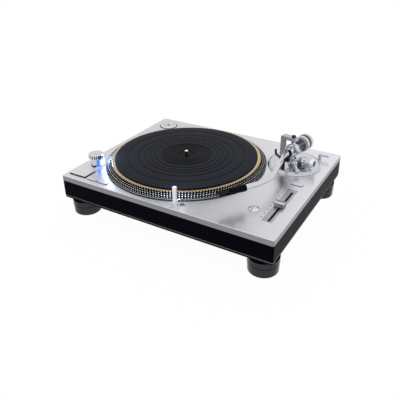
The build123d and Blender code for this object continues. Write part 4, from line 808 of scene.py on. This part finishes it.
def node_finishes(colours):
    """Every finish of the CAD nodes, each with the nodes that wear it."""
    panel, shell, brass, glow = map(
        tuple, (colours.panel, colours.shell, colours.brass, colours.glow)
    )
    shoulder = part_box("brass_plate")[1].x - PLATTER.x + 1.6 * MM
    edge_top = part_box("lower_base")[1].z
    spindle_tip = PANEL_TOP + 18.5 * MM
    strobe = centre_of("strobe_window")
    target = centre_of("target_lamp_lens")
    side_dial = joint_place("side_force_turn")
    return (
        (hairline_metal("panel_hairline", panel, ALONG_X), "top_panel"),
        (
            skirted_key("key_caps", panel),
            "start_stop_button", "speed_button_33", "speed_button_45", "reset_button",
        ),
        (black_paint("shell_paint", shell), "base_shell"),
        (rubber("damper_rubber", (0.012, 0.012, 0.014)), "platter_damper"),
        (
            # the base's rubber, with a painted highlight along its top
            edged_rubber(
                "base_rubber", (0.008, 0.008, 0.011), (0.5, 0.5, 0.53), edge_top - 1.9 * MM,
                edge_top,
            ),
            "lower_base",
        ),
        (platter_metal("platter_turned", brass, (0.006, 0.0065, 0.009), shoulder), "platter"),
        (turned_metal("brass_turned", brass, PLATTER, 0.22), "brass_plate"),
        (
            turned_metal("adapter_turned", (0.7, 0.7, 0.72), centre_of("record_adapter"), 0.24),
            "record_adapter",
        ),
        (
            turned_metal("ring_turned", (0.6, 0.61, 0.64), RING_CENTRE, 0.12),
            "height_ring", "arm_base",
        ),
        (
            polished_metal("chrome", (0.74, 0.74, 0.77)),
            "lamp_button", "strobe_tower", "target_lamp", "lamp_sleeve", "shell_socket",
            "socket_cap", "plinth_screws",
        ),
        (tipped_metal("spindle_polish", (0.85, 0.85, 0.88), spindle_tip), "spindle_shaft"),
        (
            fluted_metal("dial_flutes", (0.68, 0.69, 0.72), joint_place("power_turn"), 24),
            "power_dial",
        ),
        (
            faced_dial(
                "side_dial_face", (0.84, 0.85, 0.88), (0.01, 0.014, 0.03), side_dial, ARM_ACROSS,
                6.6 * MM,
            ),
            "side_force_dial",
        ),
        (polished_metal("dial_plating", (0.22, 0.23, 0.27), 0.2), "tracking_dial"),
        (polished_metal("arm_plating", (0.64, 0.64, 0.68), 0.16), "arm_tube", "arm_barrel"),
        (satin_metal("arch_satin", (0.66, 0.67, 0.7), 0.38, 0.4), "gimbal_arch"),
        (
            satin_metal("arm_satin", (0.62, 0.63, 0.66), 0.2, 0.75),
            "cue_lever", "lock_post", "lock_lever", "bearing_housing",
        ),
        (hairline_metal("slider_plate_hairline", (0.48, 0.48, 0.5), ALONG_Y), "slider_plate"),
        (
            ridged_cap(
                "slider_cap", (0.92, 0.92, 0.95), (0.3, 0.3, 0.32), centre_of("slider_knob"),
            ),
            "slider_knob",
        ),
        (banded_weight("weight_plating", (0.6, 0.6, 0.63), 41 * MM, 48 * MM), "counterweight"),
        (
            moulded_plastic("shell_moulding", (0.003, 0.003, 0.0045), 0.34, 0.06),
            "headshell", "finger_lift", "shell_collar",
        ),
        (
            moulded_plastic("black_moulding", (0.007, 0.007, 0.009)),
            "pitch_potentiometer", "pivot_screw", "arm_rest", "arm_clamp", "lift_bar",
            "terminal_tray", "mains_inlet",
        ),
        (polished_metal("gold_plating", (0.85, 0.62, 0.26), 0.14), "signal_terminals"),
        (circuit_board("board_resist", (0.02, 0.13, 0.05)), "control_board", "power_supply_board"),
        (wound_copper("coil_copper", (0.62, 0.27, 0.12)), "stator_coils"),
        (satin_metal("magnet_plating", (0.2, 0.2, 0.21), 0.35), "rotor_magnet"),
        (glow_lens("strobe_glow", glow, 9.0, strobe, 7.5 * MM), "strobe_window"),
        (glow_lens("target_glow", glow, 26.0, target, 6 * MM), "target_lamp_lens"),
    )


class PLAYER_OT_finishes(bpy.types.Operator):
    """Gives every CAD node its procedural finish."""

    bl_idname = "player.finishes"
    bl_label = "Finishes"

    def execute(self, context):
        for material, *nodes in node_finishes(context.scene.player_colours):
            for node in nodes:
                paint(node, material)
        dark_steel = (0.04, 0.04, 0.046)
        for node in frame["nodes"]:
            if node.startswith("foot_"):
                name = node + "_turned"
                paint(node, turned_metal(name, dark_steel, centre_of(node), 0.2, 2.0, 0.2))
        return {"FINISHED"}


def paint(node, material):
    """Makes a material a CAD node's only one."""
    materials = frame["nodes"][node].data.materials
    materials.clear()
    materials.append(material)


class PLAYER_OT_strobe_dots(bpy.types.Operator):
    """Grows the four rows of bright dots on the platter's cone."""

    bl_idname = "player.strobe_dots"
    bl_label = "Strobe dots"

    def execute(self, context):
        sizes = context.scene.player_sizes
        rim_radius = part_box("platter")[1].x - PLATTER.x
        cone_foot = Vector((rim_radius, 3.2 * MM))
        cone_head = Vector((rim_radius - 13.6 * MM, 12.6 * MM))
        slope = cone_head - cone_foot
        lean = Vector((-slope.x, slope.y)).angle(Vector((1, 0)))
        dots = Pattern(
            "strobe_rows",
            {
                "Lowest row dots": ("Int", sizes.dots_outer),
                "Dot width": ("Float", sizes.dot_width),
                "Dot rise": ("Float", sizes.dot_rise),
            },
        )
        ball = dots.node(
            "GeometryNodeMeshUVSphere", inputs={"Segments": 8, "Rings": 5, "Radius": 0.5}
        )
        relative_widths = (0.92, 1.18, 0.92, 0.82)
        height_to_width = 0.82
        rows = []
        for row, width in enumerate(relative_widths):
            share = (row + 0.62) / (len(relative_widths) + 0.2)
            spot = cone_foot + slope * share
            count = dots.size("Lowest row dots") - row * sizes.dots_step
            across = dots.size("Dot width") * width
            stretch = dots.vector(across * height_to_width, across, dots.size("Dot rise") * 2)
            ring = dots.circle(dots.moved(ball, scale=stretch), count, spot.x, lean)
            rows.append(dots.moved(ring, offset=(PLATTER.x, PLATTER.y, PLATTER.z + spot.y)))
        dots.finish(rows, satin_metal("strobe_dot_metal", (0.94, 0.95, 0.97), 0.3, 0.15))
        piece = grown("strobe_dots", dots)
        piece.data.shade_smooth()
        settle(piece, "platter")
        return {"FINISHED"}


class PLAYER_OT_mat(bpy.types.Operator):
    """Turns the ribbed rubber mat that stands for the plain one."""

    bl_idname = "player.mat"
    bl_label = "Ribbed mat"

    def execute(self, context):
        sizes = context.scene.player_sizes
        low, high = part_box("platter_mat")
        rim = high.x - PLATTER.x - 1.0 * MM
        top = high.z - PLATTER.z
        bottom = low.z - PLATTER.z
        bore = 5.1 * MM
        depth = sizes.groove_depth
        bands = [rim, 120 * MM, 98 * MM, 84 * MM, 74 * MM, 63 * MM, 52 * MM]
        outline = [(bore, bottom), (rim, bottom), (rim, top - 0.8 * MM)]
        for outer, inner in zip(bands, bands[1:]):
            outline += crowned_band(outer, inner, top, depth)
        rib = bands[-1]
        label_radius = 20 * MM
        crest_height = top - 0.45 * MM
        valley = crest_height - 0.35 * MM
        while rib > label_radius:
            crest = rib - sizes.rib_pitch / 2
            outline += [
                (rib, valley),
                (rib - 0.5 * MM, valley),
                (crest + 0.6 * MM, crest_height),
                (crest - 0.6 * MM, crest_height),
            ]
            rib -= sizes.rib_pitch
        outline += [(rib, valley), (bore + 6 * MM, valley), (bore, valley)]
        mat = lathe(
            "ribbed_mat",
            outline,
            Matrix.Translation(PLATTER),
            mat_rubber("mat_rubber", tuple(context.scene.player_colours.mat), top, depth),
            steps=256,
            smooth_angle=0.5,
        )
        settle(mat, "platter", ["platter_mat"])
        return {"FINISHED"}


def crowned_band(outer, inner, top, depth):
    """The outline of one flat ring of the mat, slightly crowned, with a groove inside it."""
    groove = 1.3 * MM
    start = outer - 0.5 * MM
    width = outer - inner - groove - 0.8 * MM
    crown = 0.3 * MM
    steps = 6
    points = []
    for k in range(steps + 1):
        share = k / steps
        points.append((start - width * share, top - crown * (2 * share - 1) ** 2))
    points.append((inner + groove * 0.7, top - depth))
    points.append((inner + groove * 0.3, top - depth))
    return points


class PLAYER_OT_scales(bpy.types.Operator):
    """Lays the pitch slider's dots and the plain numbers on the dials."""

    bl_idname = "player.scales"
    bl_label = "Scales and numbers"

    def execute(self, context):
        pale = ink("pale_ink", (0.75, 0.76, 0.78))
        self.lay_pitch_marks(ink("dark_ink", (0.03, 0.03, 0.035)))
        self.number_tracking_dial(pale)
        self.number_side_dial(pale)
        return {"FINISHED"}

    def lay_pitch_marks(self, dark):
        """A row of dots beside the slider."""
        low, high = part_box("slider_plate")
        count, pitch = 9, 13 * MM
        marks = Pattern(
            "pitch_marks",
            {
                "Count": ("Int", count),
                "Pitch": ("Float", pitch),
                "Dot radius": ("Float", 1.3 * MM),
            },
        )
        dot = marks.node(
            "GeometryNodeMeshCylinder",
            inputs={"Vertices": 16, "Radius": marks.size("Dot radius"), "Depth": 0.06 * MM},
        )
        step = marks.vector(0.0, marks.size("Pitch"), 0.0)
        marks.finish([marks.row(dot, marks.size("Count"), step)], dark)
        middle = (low.y + high.y) / 2 + 1.3 * MM
        start = Vector((low.x - 4.6 * MM, middle - (count - 1) / 2 * pitch, PANEL_TOP))
        piece = grown("pitch_marks", marks, Matrix.Translation(start))
        settle(piece, "plinth")

    def number_tracking_dial(self, pale):
        """0 to 3 twice round the tracking dial's rim."""
        rim_radius = 15.05 * MM
        behind_pivot = 31.5 * MM
        count = 8
        places = []
        for k in range(count):
            out = Matrix.Rotation(-tau * k / count, 3, ARM_ALONG) @ UP
            spot = ARM_PIVOT - ARM_ALONG * behind_pivot + out * rim_radius
            places.append((str(k % 4), axes_at(spot, ARM_ALONG.cross(out), out)))
        numbers = numerals("force_numbers", places, 4.2 * MM, pale)
        settle(numbers, "tracking_dial")

    def number_side_dial(self, pale):
        """0 to 5 round the side-force dial's face."""
        side = joint_place("side_force_turn")
        face = max(reaches("side_force_dial", ARM_ACROSS)) + 0.01 * MM
        ring_radius = 5.4 * MM
        places = []
        for k in range(6):
            out = Matrix.Rotation(-radians(50) * k, 3, ARM_ACROSS) @ UP
            spot = side + ARM_ACROSS * (face - side.dot(ARM_ACROSS)) + out * ring_radius
            places.append((str(k), axes_at(spot, ARM_ACROSS.cross(out) * -1, ARM_ACROSS)))
        numbers = numerals("side_numbers", places, 2.4 * MM, pale)
        settle(numbers, "side_force_dial")


class PLAYER_OT_outlines(bpy.types.Operator):
    """Lays black frames of painted shade round the keys and the slider's slot, and the skirt under
    the shell.
    """

    bl_idname = "player.outlines"
    bl_label = "Joints, liner and skirt"

    def execute(self, context):
        dark = ink("joint_black", (0.004, 0.004, 0.006))
        keys = ("start_stop_button", "speed_button_33", "speed_button_45", "reset_button")
        # painted shade: a black frame round each key stands for the shaded gap round it
        joints = [(*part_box(key), 0.9 * MM, PANEL_TOP, 0.06 * MM) for key in keys]

        low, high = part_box("slider_plate")
        middle = (low + high) / 2
        # painted shade: a black frame round the slot widens its dark shade
        slot = Vector((middle.x + 2.2 * MM, middle.y - 3.5 * MM, 0))
        half = Vector((1.3 * MM, 54.3 * MM, 0))
        slot_shade = (slot - half, slot + half, 1.1 * MM, high.z - 0.05 * MM, 0.12 * MM)

        low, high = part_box("lower_base")
        inset = Vector((8 * MM, 8 * MM, 0))
        skirt = (low + inset, high - inset, 6.6 * MM, high.z - 6 * MM, 4.3 * MM)

        skirt_rubber = rubber("skirt_rubber", (0.006, 0.006, 0.009))
        for name, frames, material, slot_name in (
            ("key_gap_shade", joints, dark, "black_plastic"),
            ("slot_shade_strip", [slot_shade], dark, "black_plastic"),
            ("base_skirt", [skirt], skirt_rubber, "shell_black"),
        ):
            work = bmesh.new()
            for sizes in frames:
                frame_ring(work, *sizes)
            settle(modelled(name, work, material), "plinth")
        return {"FINISHED"}


def frame_ring(work, low, high, width, base, rise):
    """A flat rectangular ring round a box's plan, with its walls closed."""
    rings = []
    for grow, height in ((0, base), (width, base), (width, base + rise), (0, base + rise)):
        corners = (
            (low.x - grow, low.y - grow),
            (high.x + grow, low.y - grow),
            (high.x + grow, high.y + grow),
            (low.x - grow, high.y + grow),
        )
        rings.append([work.verts.new((x, y, height)) for x, y in corners])
    for near, far in zip(rings, rings[1:] + rings[:1]):
        bridge(work, near, far)
    bmesh.ops.recalc_face_normals(work, faces=work.faces)


class PLAYER_OT_gimbal(bpy.types.Operator):
    """Turns the round gimbal ring and its four pivot stubs, which stand for the plain frame."""

    bl_idname = "player.gimbal"
    bl_label = "Gimbal ring"

    def execute(self, context):
        chrome = polished_metal("gimbal_chrome", (0.66, 0.67, 0.7), 0.12)
        across = (ARM_ACROSS - UP * ARM_ACROSS.z).normalized()
        outer_half = [(12.2, 4.0), (13.0, 3.2), (13.4, 1.4)]
        section = [
            (10.3, -3.2),
            *((radius, -height) for radius, height in outer_half),
            *reversed(outer_half),
            (10.3, 3.2),
        ]
        outline = [(radius * MM, height * MM) for radius, height in section]
        place = axes_at(ARM_PIVOT, across, ARM_ALONG)
        ring = lathe("gimbal_ring", outline, place, chrome, steps=64)
        settle(ring, "gimbal_carrier", ["gimbal_carrier"])
        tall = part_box("gimbal_carrier")[1].z - ARM_PIVOT.z
        wide = 17.5 * MM
        inner_end = 12.8 * MM
        for name, out, side, reach in (
            ("top", UP, across, tall),
            ("bottom", -UP, across, tall),
            ("inner", -across, UP, wide),
            ("outer", across, UP, wide),
        ):
            outline = [
                (2.3 * MM, inner_end),
                (4.2 * MM, inner_end),
                (4.2 * MM, reach - 0.8 * MM),
                (3.6 * MM, reach - 0.1 * MM),
                (2.3 * MM, reach - 0.1 * MM),
            ]
            place = axes_at(ARM_PIVOT, side, out)
            stub = lathe("gimbal_stub_" + name, outline, place, chrome, steps=32)
            settle(stub, "gimbal_carrier")
        return {"FINISHED"}


class PLAYER_OT_hook(bpy.types.Operator):
    """Sheathes the arm clamp's hook in a thick rubber grip."""

    bl_idname = "player.hook"
    bl_label = "Clamp grip"

    def execute(self, context):
        hinge = joint_place("clamp_swing")
        open_angle = radians(80)
        x_axis = ARM_ACROSS * cos(open_angle) - UP * sin(open_angle)
        y_axis = ARM_ALONG.cross(x_axis)
        lengthwise = reaches("arm_clamp", ARM_ALONG)
        middle = (min(lengthwise) + max(lengthwise)) / 2 - hinge.dot(ARM_ALONG)
        centre = hinge + ARM_ALONG * middle - x_axis * 9.4 * MM - y_axis * 0.5 * MM
        grip = arc_bar(
            "clamp_grip",
            axes_at(centre, x_axis, ARM_ALONG),
            radii=(5.5 * MM, 9.7 * MM),
            length=7.6 * MM,
            start=radians(42),
            sweep=radians(110),
            material=rubber("grip_rubber", (0.006, 0.006, 0.008)),
        )
        settle(grip, "arm_clamp")
        return {"FINISHED"}


def arc_bar(name, place, radii, length, start, sweep, material):
    """A rounded bar bent round the place's z axis, from a start angle through a sweep."""
    steps, sides = 24, 12
    inner, outer = radii
    middle = (inner + outer) / 2
    half = (outer - inner) / 2
    work = bmesh.new()
    rings = []
    for k in range(steps + 1):
        angle = start + sweep * k / steps
        taper = min(1.0, 0.45 + 0.55 * min(k, steps - k) / 2)
        ring = []
        for m in range(sides):
            turn = tau * m / sides
            reach = middle + half * taper * cos(turn)
            height = length / 2 * taper * sin(turn)
            ring.append(work.verts.new((reach * cos(angle), reach * sin(angle), height)))
        rings.append(ring)
    for near, far in zip(rings, rings[1:]):
        bridge(work, near, far)
    work.faces.new(rings[0])
    work.faces.new(rings[-1])
    bmesh.ops.recalc_face_normals(work, faces=work.faces)
    piece = modelled(name, work, material)
    smooth(piece.data, 0.9)
    piece.data.transform(place)
    return piece


class PLAYER_OT_lenses(bpy.types.Operator):
    """Makes the strobe's cut lens on the tower, the target lamp's tip, and their small lights."""

    bl_idname = "player.lenses"
    bl_label = "Lit lenses"

    def execute(self, context):
        glow = tuple(context.scene.player_colours.glow)
        tower = joint_place("power_turn")
        tower.z = PANEL_TOP
        radius = 14.4 * MM
        to_platter = Vector((PLATTER.x - tower.x, PLATTER.y - tower.y, 0)).normalized()
        aim = Matrix.Rotation(-radians(36), 3, "Z") @ to_platter
        brightest = Matrix.Rotation(radians(16), 3, "Z") @ aim
        core = tower + brightest * radius + UP * 10.5 * MM
        lens_glow = glow_lens("strobe_lens_glow", glow, 2.2, core, 12 * MM)
        lens = modelled("strobe_lens", cut_sheet(tower, aim, radius), lens_glow)
        settle(lens, "plinth")

        top = centre_of("target_lamp")
        top.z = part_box("target_lamp")[1].z
        dome = [(0, 0.5), (2.0, 0.42), (3.0, 0.2), (3.4, -0.1), (0, -0.1)]
        tip = lathe(
            "target_lamp_tip",
            [(reach * MM, height * MM) for reach, height in dome],
            Matrix.Translation(top),
            glow_lens("lamp_tip_glow", glow, 1.6, top, 9 * MM),
            steps=32,
        )
        settle(tip, "target_lamp")

        strobe = tower + to_platter * (radius + 8 * MM) + UP * 22 * MM
        small_light("strobe_light", strobe, (0.4, 0.62, 1.0), 0.09)
        lit = centre_of("target_lamp_lens")
        toward = Vector((PLATTER.x - lit.x, PLATTER.y - lit.y, 0)).normalized()
        target = lit + toward * 6 * MM + UP * 1 * MM
        small_light("target_light", target, (0.7, 0.85, 1.0), 0.05)
        return {"FINISHED"}


def cut_sheet(tower, aim, radius):
    """A closed curved sheet round the tower, its outer skin bulged and cut in facets."""
    columns, rows = 22, 9
    sweep = radians(98)
    low, tall = 2.6 * MM, 15.6 * MM
    depth, bulge, facet = 0.8 * MM, 0.35 * MM, 0.3 * MM
    work = bmesh.new()
    skins = []
    for outside in (False, True):
        skin = []
        for j in range(rows + 1):
            row = []
            for i in range(columns + 1):
                reach = radius - depth
                if outside:
                    edge = min(i, columns - i, j, rows - j)
                    cut = facet * ((i + j) % 2) if edge else 0.0
                    reach = radius + min(edge, 2) * bulge + cut
                turn = Matrix.Rotation(sweep * (i / columns - 0.5), 3, "Z")
                height = low + tall * j / rows
                row.append(work.verts.new(tower + turn @ aim * reach + UP * height))
            skin.append(row)
        skins.append(skin)
    for skin in skins:
        for near, far in zip(skin, skin[1:]):
            bridge(work, near, far, closed=False)
    inner, outer = skins
    for end in (0, -1):
        bridge(work, inner[end], outer[end], closed=False)
        sides = [[row[end] for row in skin] for skin in skins]
        bridge(work, *sides, closed=False)
    bmesh.ops.recalc_face_normals(work, faces=work.faces)
    return work


def small_light(name, place, colour, power):
    """A small lamp that throws a lens's light on what is near it."""
    lamp = bpy.data.lights.new(name, "POINT")
    lamp.color = colour
    lamp.energy = power
    lamp.shadow_soft_size = 3.0 * MM
    linked(name, lamp).location = place


class PLAYER_OT_stage(bpy.types.Operator):
    """Sets up the floor, the world and the camera."""

    bl_idname = "player.stage"
    bl_label = "Studio"

    def execute(self, context):
        scene = context.scene
        build_floor()
        build_world(scene)
        camera = bpy.data.cameras.new("photo_camera")
        camera.lens = 43.29
        camera.sensor_width = 36.0
        camera.shift_x = -0.016
        camera.shift_y = -0.088
        camera.clip_start = 0.01
        azimuth = radians(30.59)
        elevation = radians(26.42)
        roll = radians(-0.63)
        distance = 0.9864
        back = Vector(
            (sin(azimuth) * cos(elevation), -cos(azimuth) * cos(elevation), sin(elevation))
        )
        turn = (-back).to_track_quat("-Z", "Y").to_matrix() @ Matrix.Rotation(roll, 3, "Z")
        holder = linked("photo_camera", camera)
        holder.rotation_mode = "QUATERNION"
        holder.rotation_quaternion = turn.to_quaternion()
        holder.location = Vector((0, 0, PANEL_TOP)) + back * distance
        scene.camera = holder
        scene.view_settings.view_transform = "Standard"
        return {"FINISHED"}


def sees_backdrop(recipe):
    """1 for the camera's rays and for those off metal and through glass, 0 for the others."""
    path = recipe.node("ShaderNodeLightPath")
    outputs = path.socket.node.outputs
    glossy = Field(recipe, outputs["Is Glossy Ray"])
    through = Field(recipe, outputs["Is Transmission Ray"])
    return path.math("MAXIMUM", glossy).math("MAXIMUM", through)


def build_floor():
    """A wide floor, white as a backdrop with a soft shadow, and shaded paper to other light."""
    material = bpy.data.materials.new("floor_paper")
    material.use_nodes = True
    recipe = Recipe(material.node_tree)
    recipe.tree.nodes.clear()
    across, along, _ = recipe.split(recipe.node("ShaderNodeTexCoord", output="Object"))
    front = recipe.node(
        "ShaderNodeMapRange", inputs={"Value": along, "From Min": -0.1, "From Max": -0.24}
    )
    tone = recipe.node(
        "ShaderNodeValToRGB",
        {"stops": ((0.0, 0.05), (0.3, 0.34), (1.0, 0.85))},
        {0: (across * 1.5 + 0.55) * front},
    )
    paper = recipe.node("ShaderNodeBsdfDiffuse", inputs={"Color": tone})
    white = recipe.node("ShaderNodeEmission", inputs={"Color": WHITE, "Strength": 1.03})
    pale = recipe.node("ShaderNodeBsdfDiffuse", inputs={"Color": (0.9, 0.9, 0.9, 1)})
    backdrop = recipe.node("ShaderNodeMixShader", inputs={0: 0.94, 1: pale, 2: white})
    shown = recipe.node(
        "ShaderNodeMixShader", inputs={0: sees_backdrop(recipe), 1: paper, 2: backdrop}
    )
    output = recipe.tree.nodes.new("ShaderNodeOutputMaterial")
    recipe.tree.links.new(shown.socket, output.inputs[0])
    work = bmesh.new()
    bmesh.ops.create_grid(work, x_segments=1, y_segments=1, size=12)
    modelled("floor", work, material)


# Each patch of the world: where it lies, how strong it is, and how tight
LIGHT_PATCHES = (
    ((-0.46, 0.815, 0.35), 1.85, 26.0),
    ((0.15, 0.35, 0.92), 0.5, 3.0),
    ((0.0, 0.0, 1.0), 0.7, 5.0),
    ((-0.93, -0.2, 0.3), 0.5, 12.0),
)
BACKDROP_PATCHES = (
    ((-0.53, 0.65, 0.545), -0.6, 110.0),
    ((-0.42, 0.74, 0.53), -0.7, 200.0),
)


def build_world(scene):
    """Soft boxes that light the player, and the white backdrop with two dark patches over it."""
    world = bpy.data.worlds.new("studio")
    world.use_nodes = True
    scene.world = world
    recipe = Recipe(world.node_tree)
    recipe.tree.nodes.clear()
    direction = recipe.node("ShaderNodeTexCoord", output="Generated")
    lights = []
    for base, patches, colour in (
        (0.2, LIGHT_PATCHES, (0.8, 0.8, 0.8, 1)),
        (1.0, BACKDROP_PATCHES, WHITE),
    ):
        level = base
        for heading, strength, focus in patches:
            aim = tuple(Vector(heading).normalized())
            level = ((recipe.dot(direction, aim) - 1) * focus).math("EXPONENT") * strength + level
        inputs = {"Strength": level.math("MAXIMUM", 0.03), "Color": colour}
        lights.append(recipe.node("ShaderNodeBackground", inputs=inputs))
    shown = recipe.node(
        "ShaderNodeMixShader", inputs={0: sees_backdrop(recipe), 1: lights[0], 2: lights[1]}
    )
    output = recipe.tree.nodes.new("ShaderNodeOutputWorld")
    recipe.tree.links.new(shown.socket, output.inputs[0])


class PLAYER_PT_sidebar(bpy.types.Panel):
    """Lists the steps that dress the player."""

    bl_label = "Record player"
    bl_idname = "PLAYER_PT_sidebar"
    bl_space_type = "VIEW_3D"
    bl_region_type = "UI"
    bl_category = "Record player"

    def draw(self, context):
        column = self.layout.column()
        for group in (context.scene.player_sizes, context.scene.player_colours):
            for name in group.__annotations__:
                column.prop(group, name)
        for step in STEPS:
            column.operator(step.bl_idname)


STEPS = (
    PLAYER_OT_finishes,
    PLAYER_OT_strobe_dots,
    PLAYER_OT_mat,
    PLAYER_OT_scales,
    PLAYER_OT_outlines,
    PLAYER_OT_gimbal,
    PLAYER_OT_hook,
    PLAYER_OT_lenses,
    PLAYER_OT_stage,
)
CLASSES = (PlayerSizes, PlayerColours, *STEPS, PLAYER_PT_sidebar)


def register():
    for kind in CLASSES:
        bpy.utils.register_class(kind)
    bpy.types.Scene.player_sizes = bpy.props.PointerProperty(type=PlayerSizes)
    bpy.types.Scene.player_colours = bpy.props.PointerProperty(type=PlayerColours)


def unregister():
    del bpy.types.Scene.player_colours
    del bpy.types.Scene.player_sizes
    for kind in reversed(CLASSES):
        bpy.utils.unregister_class(kind)


def main():
    """Dresses the player."""
    register()
    for step in STEPS:
        group, name = step.bl_idname.split(".")
        getattr(getattr(bpy.ops, group), name)()


if __name__ == "__main__":
    main()
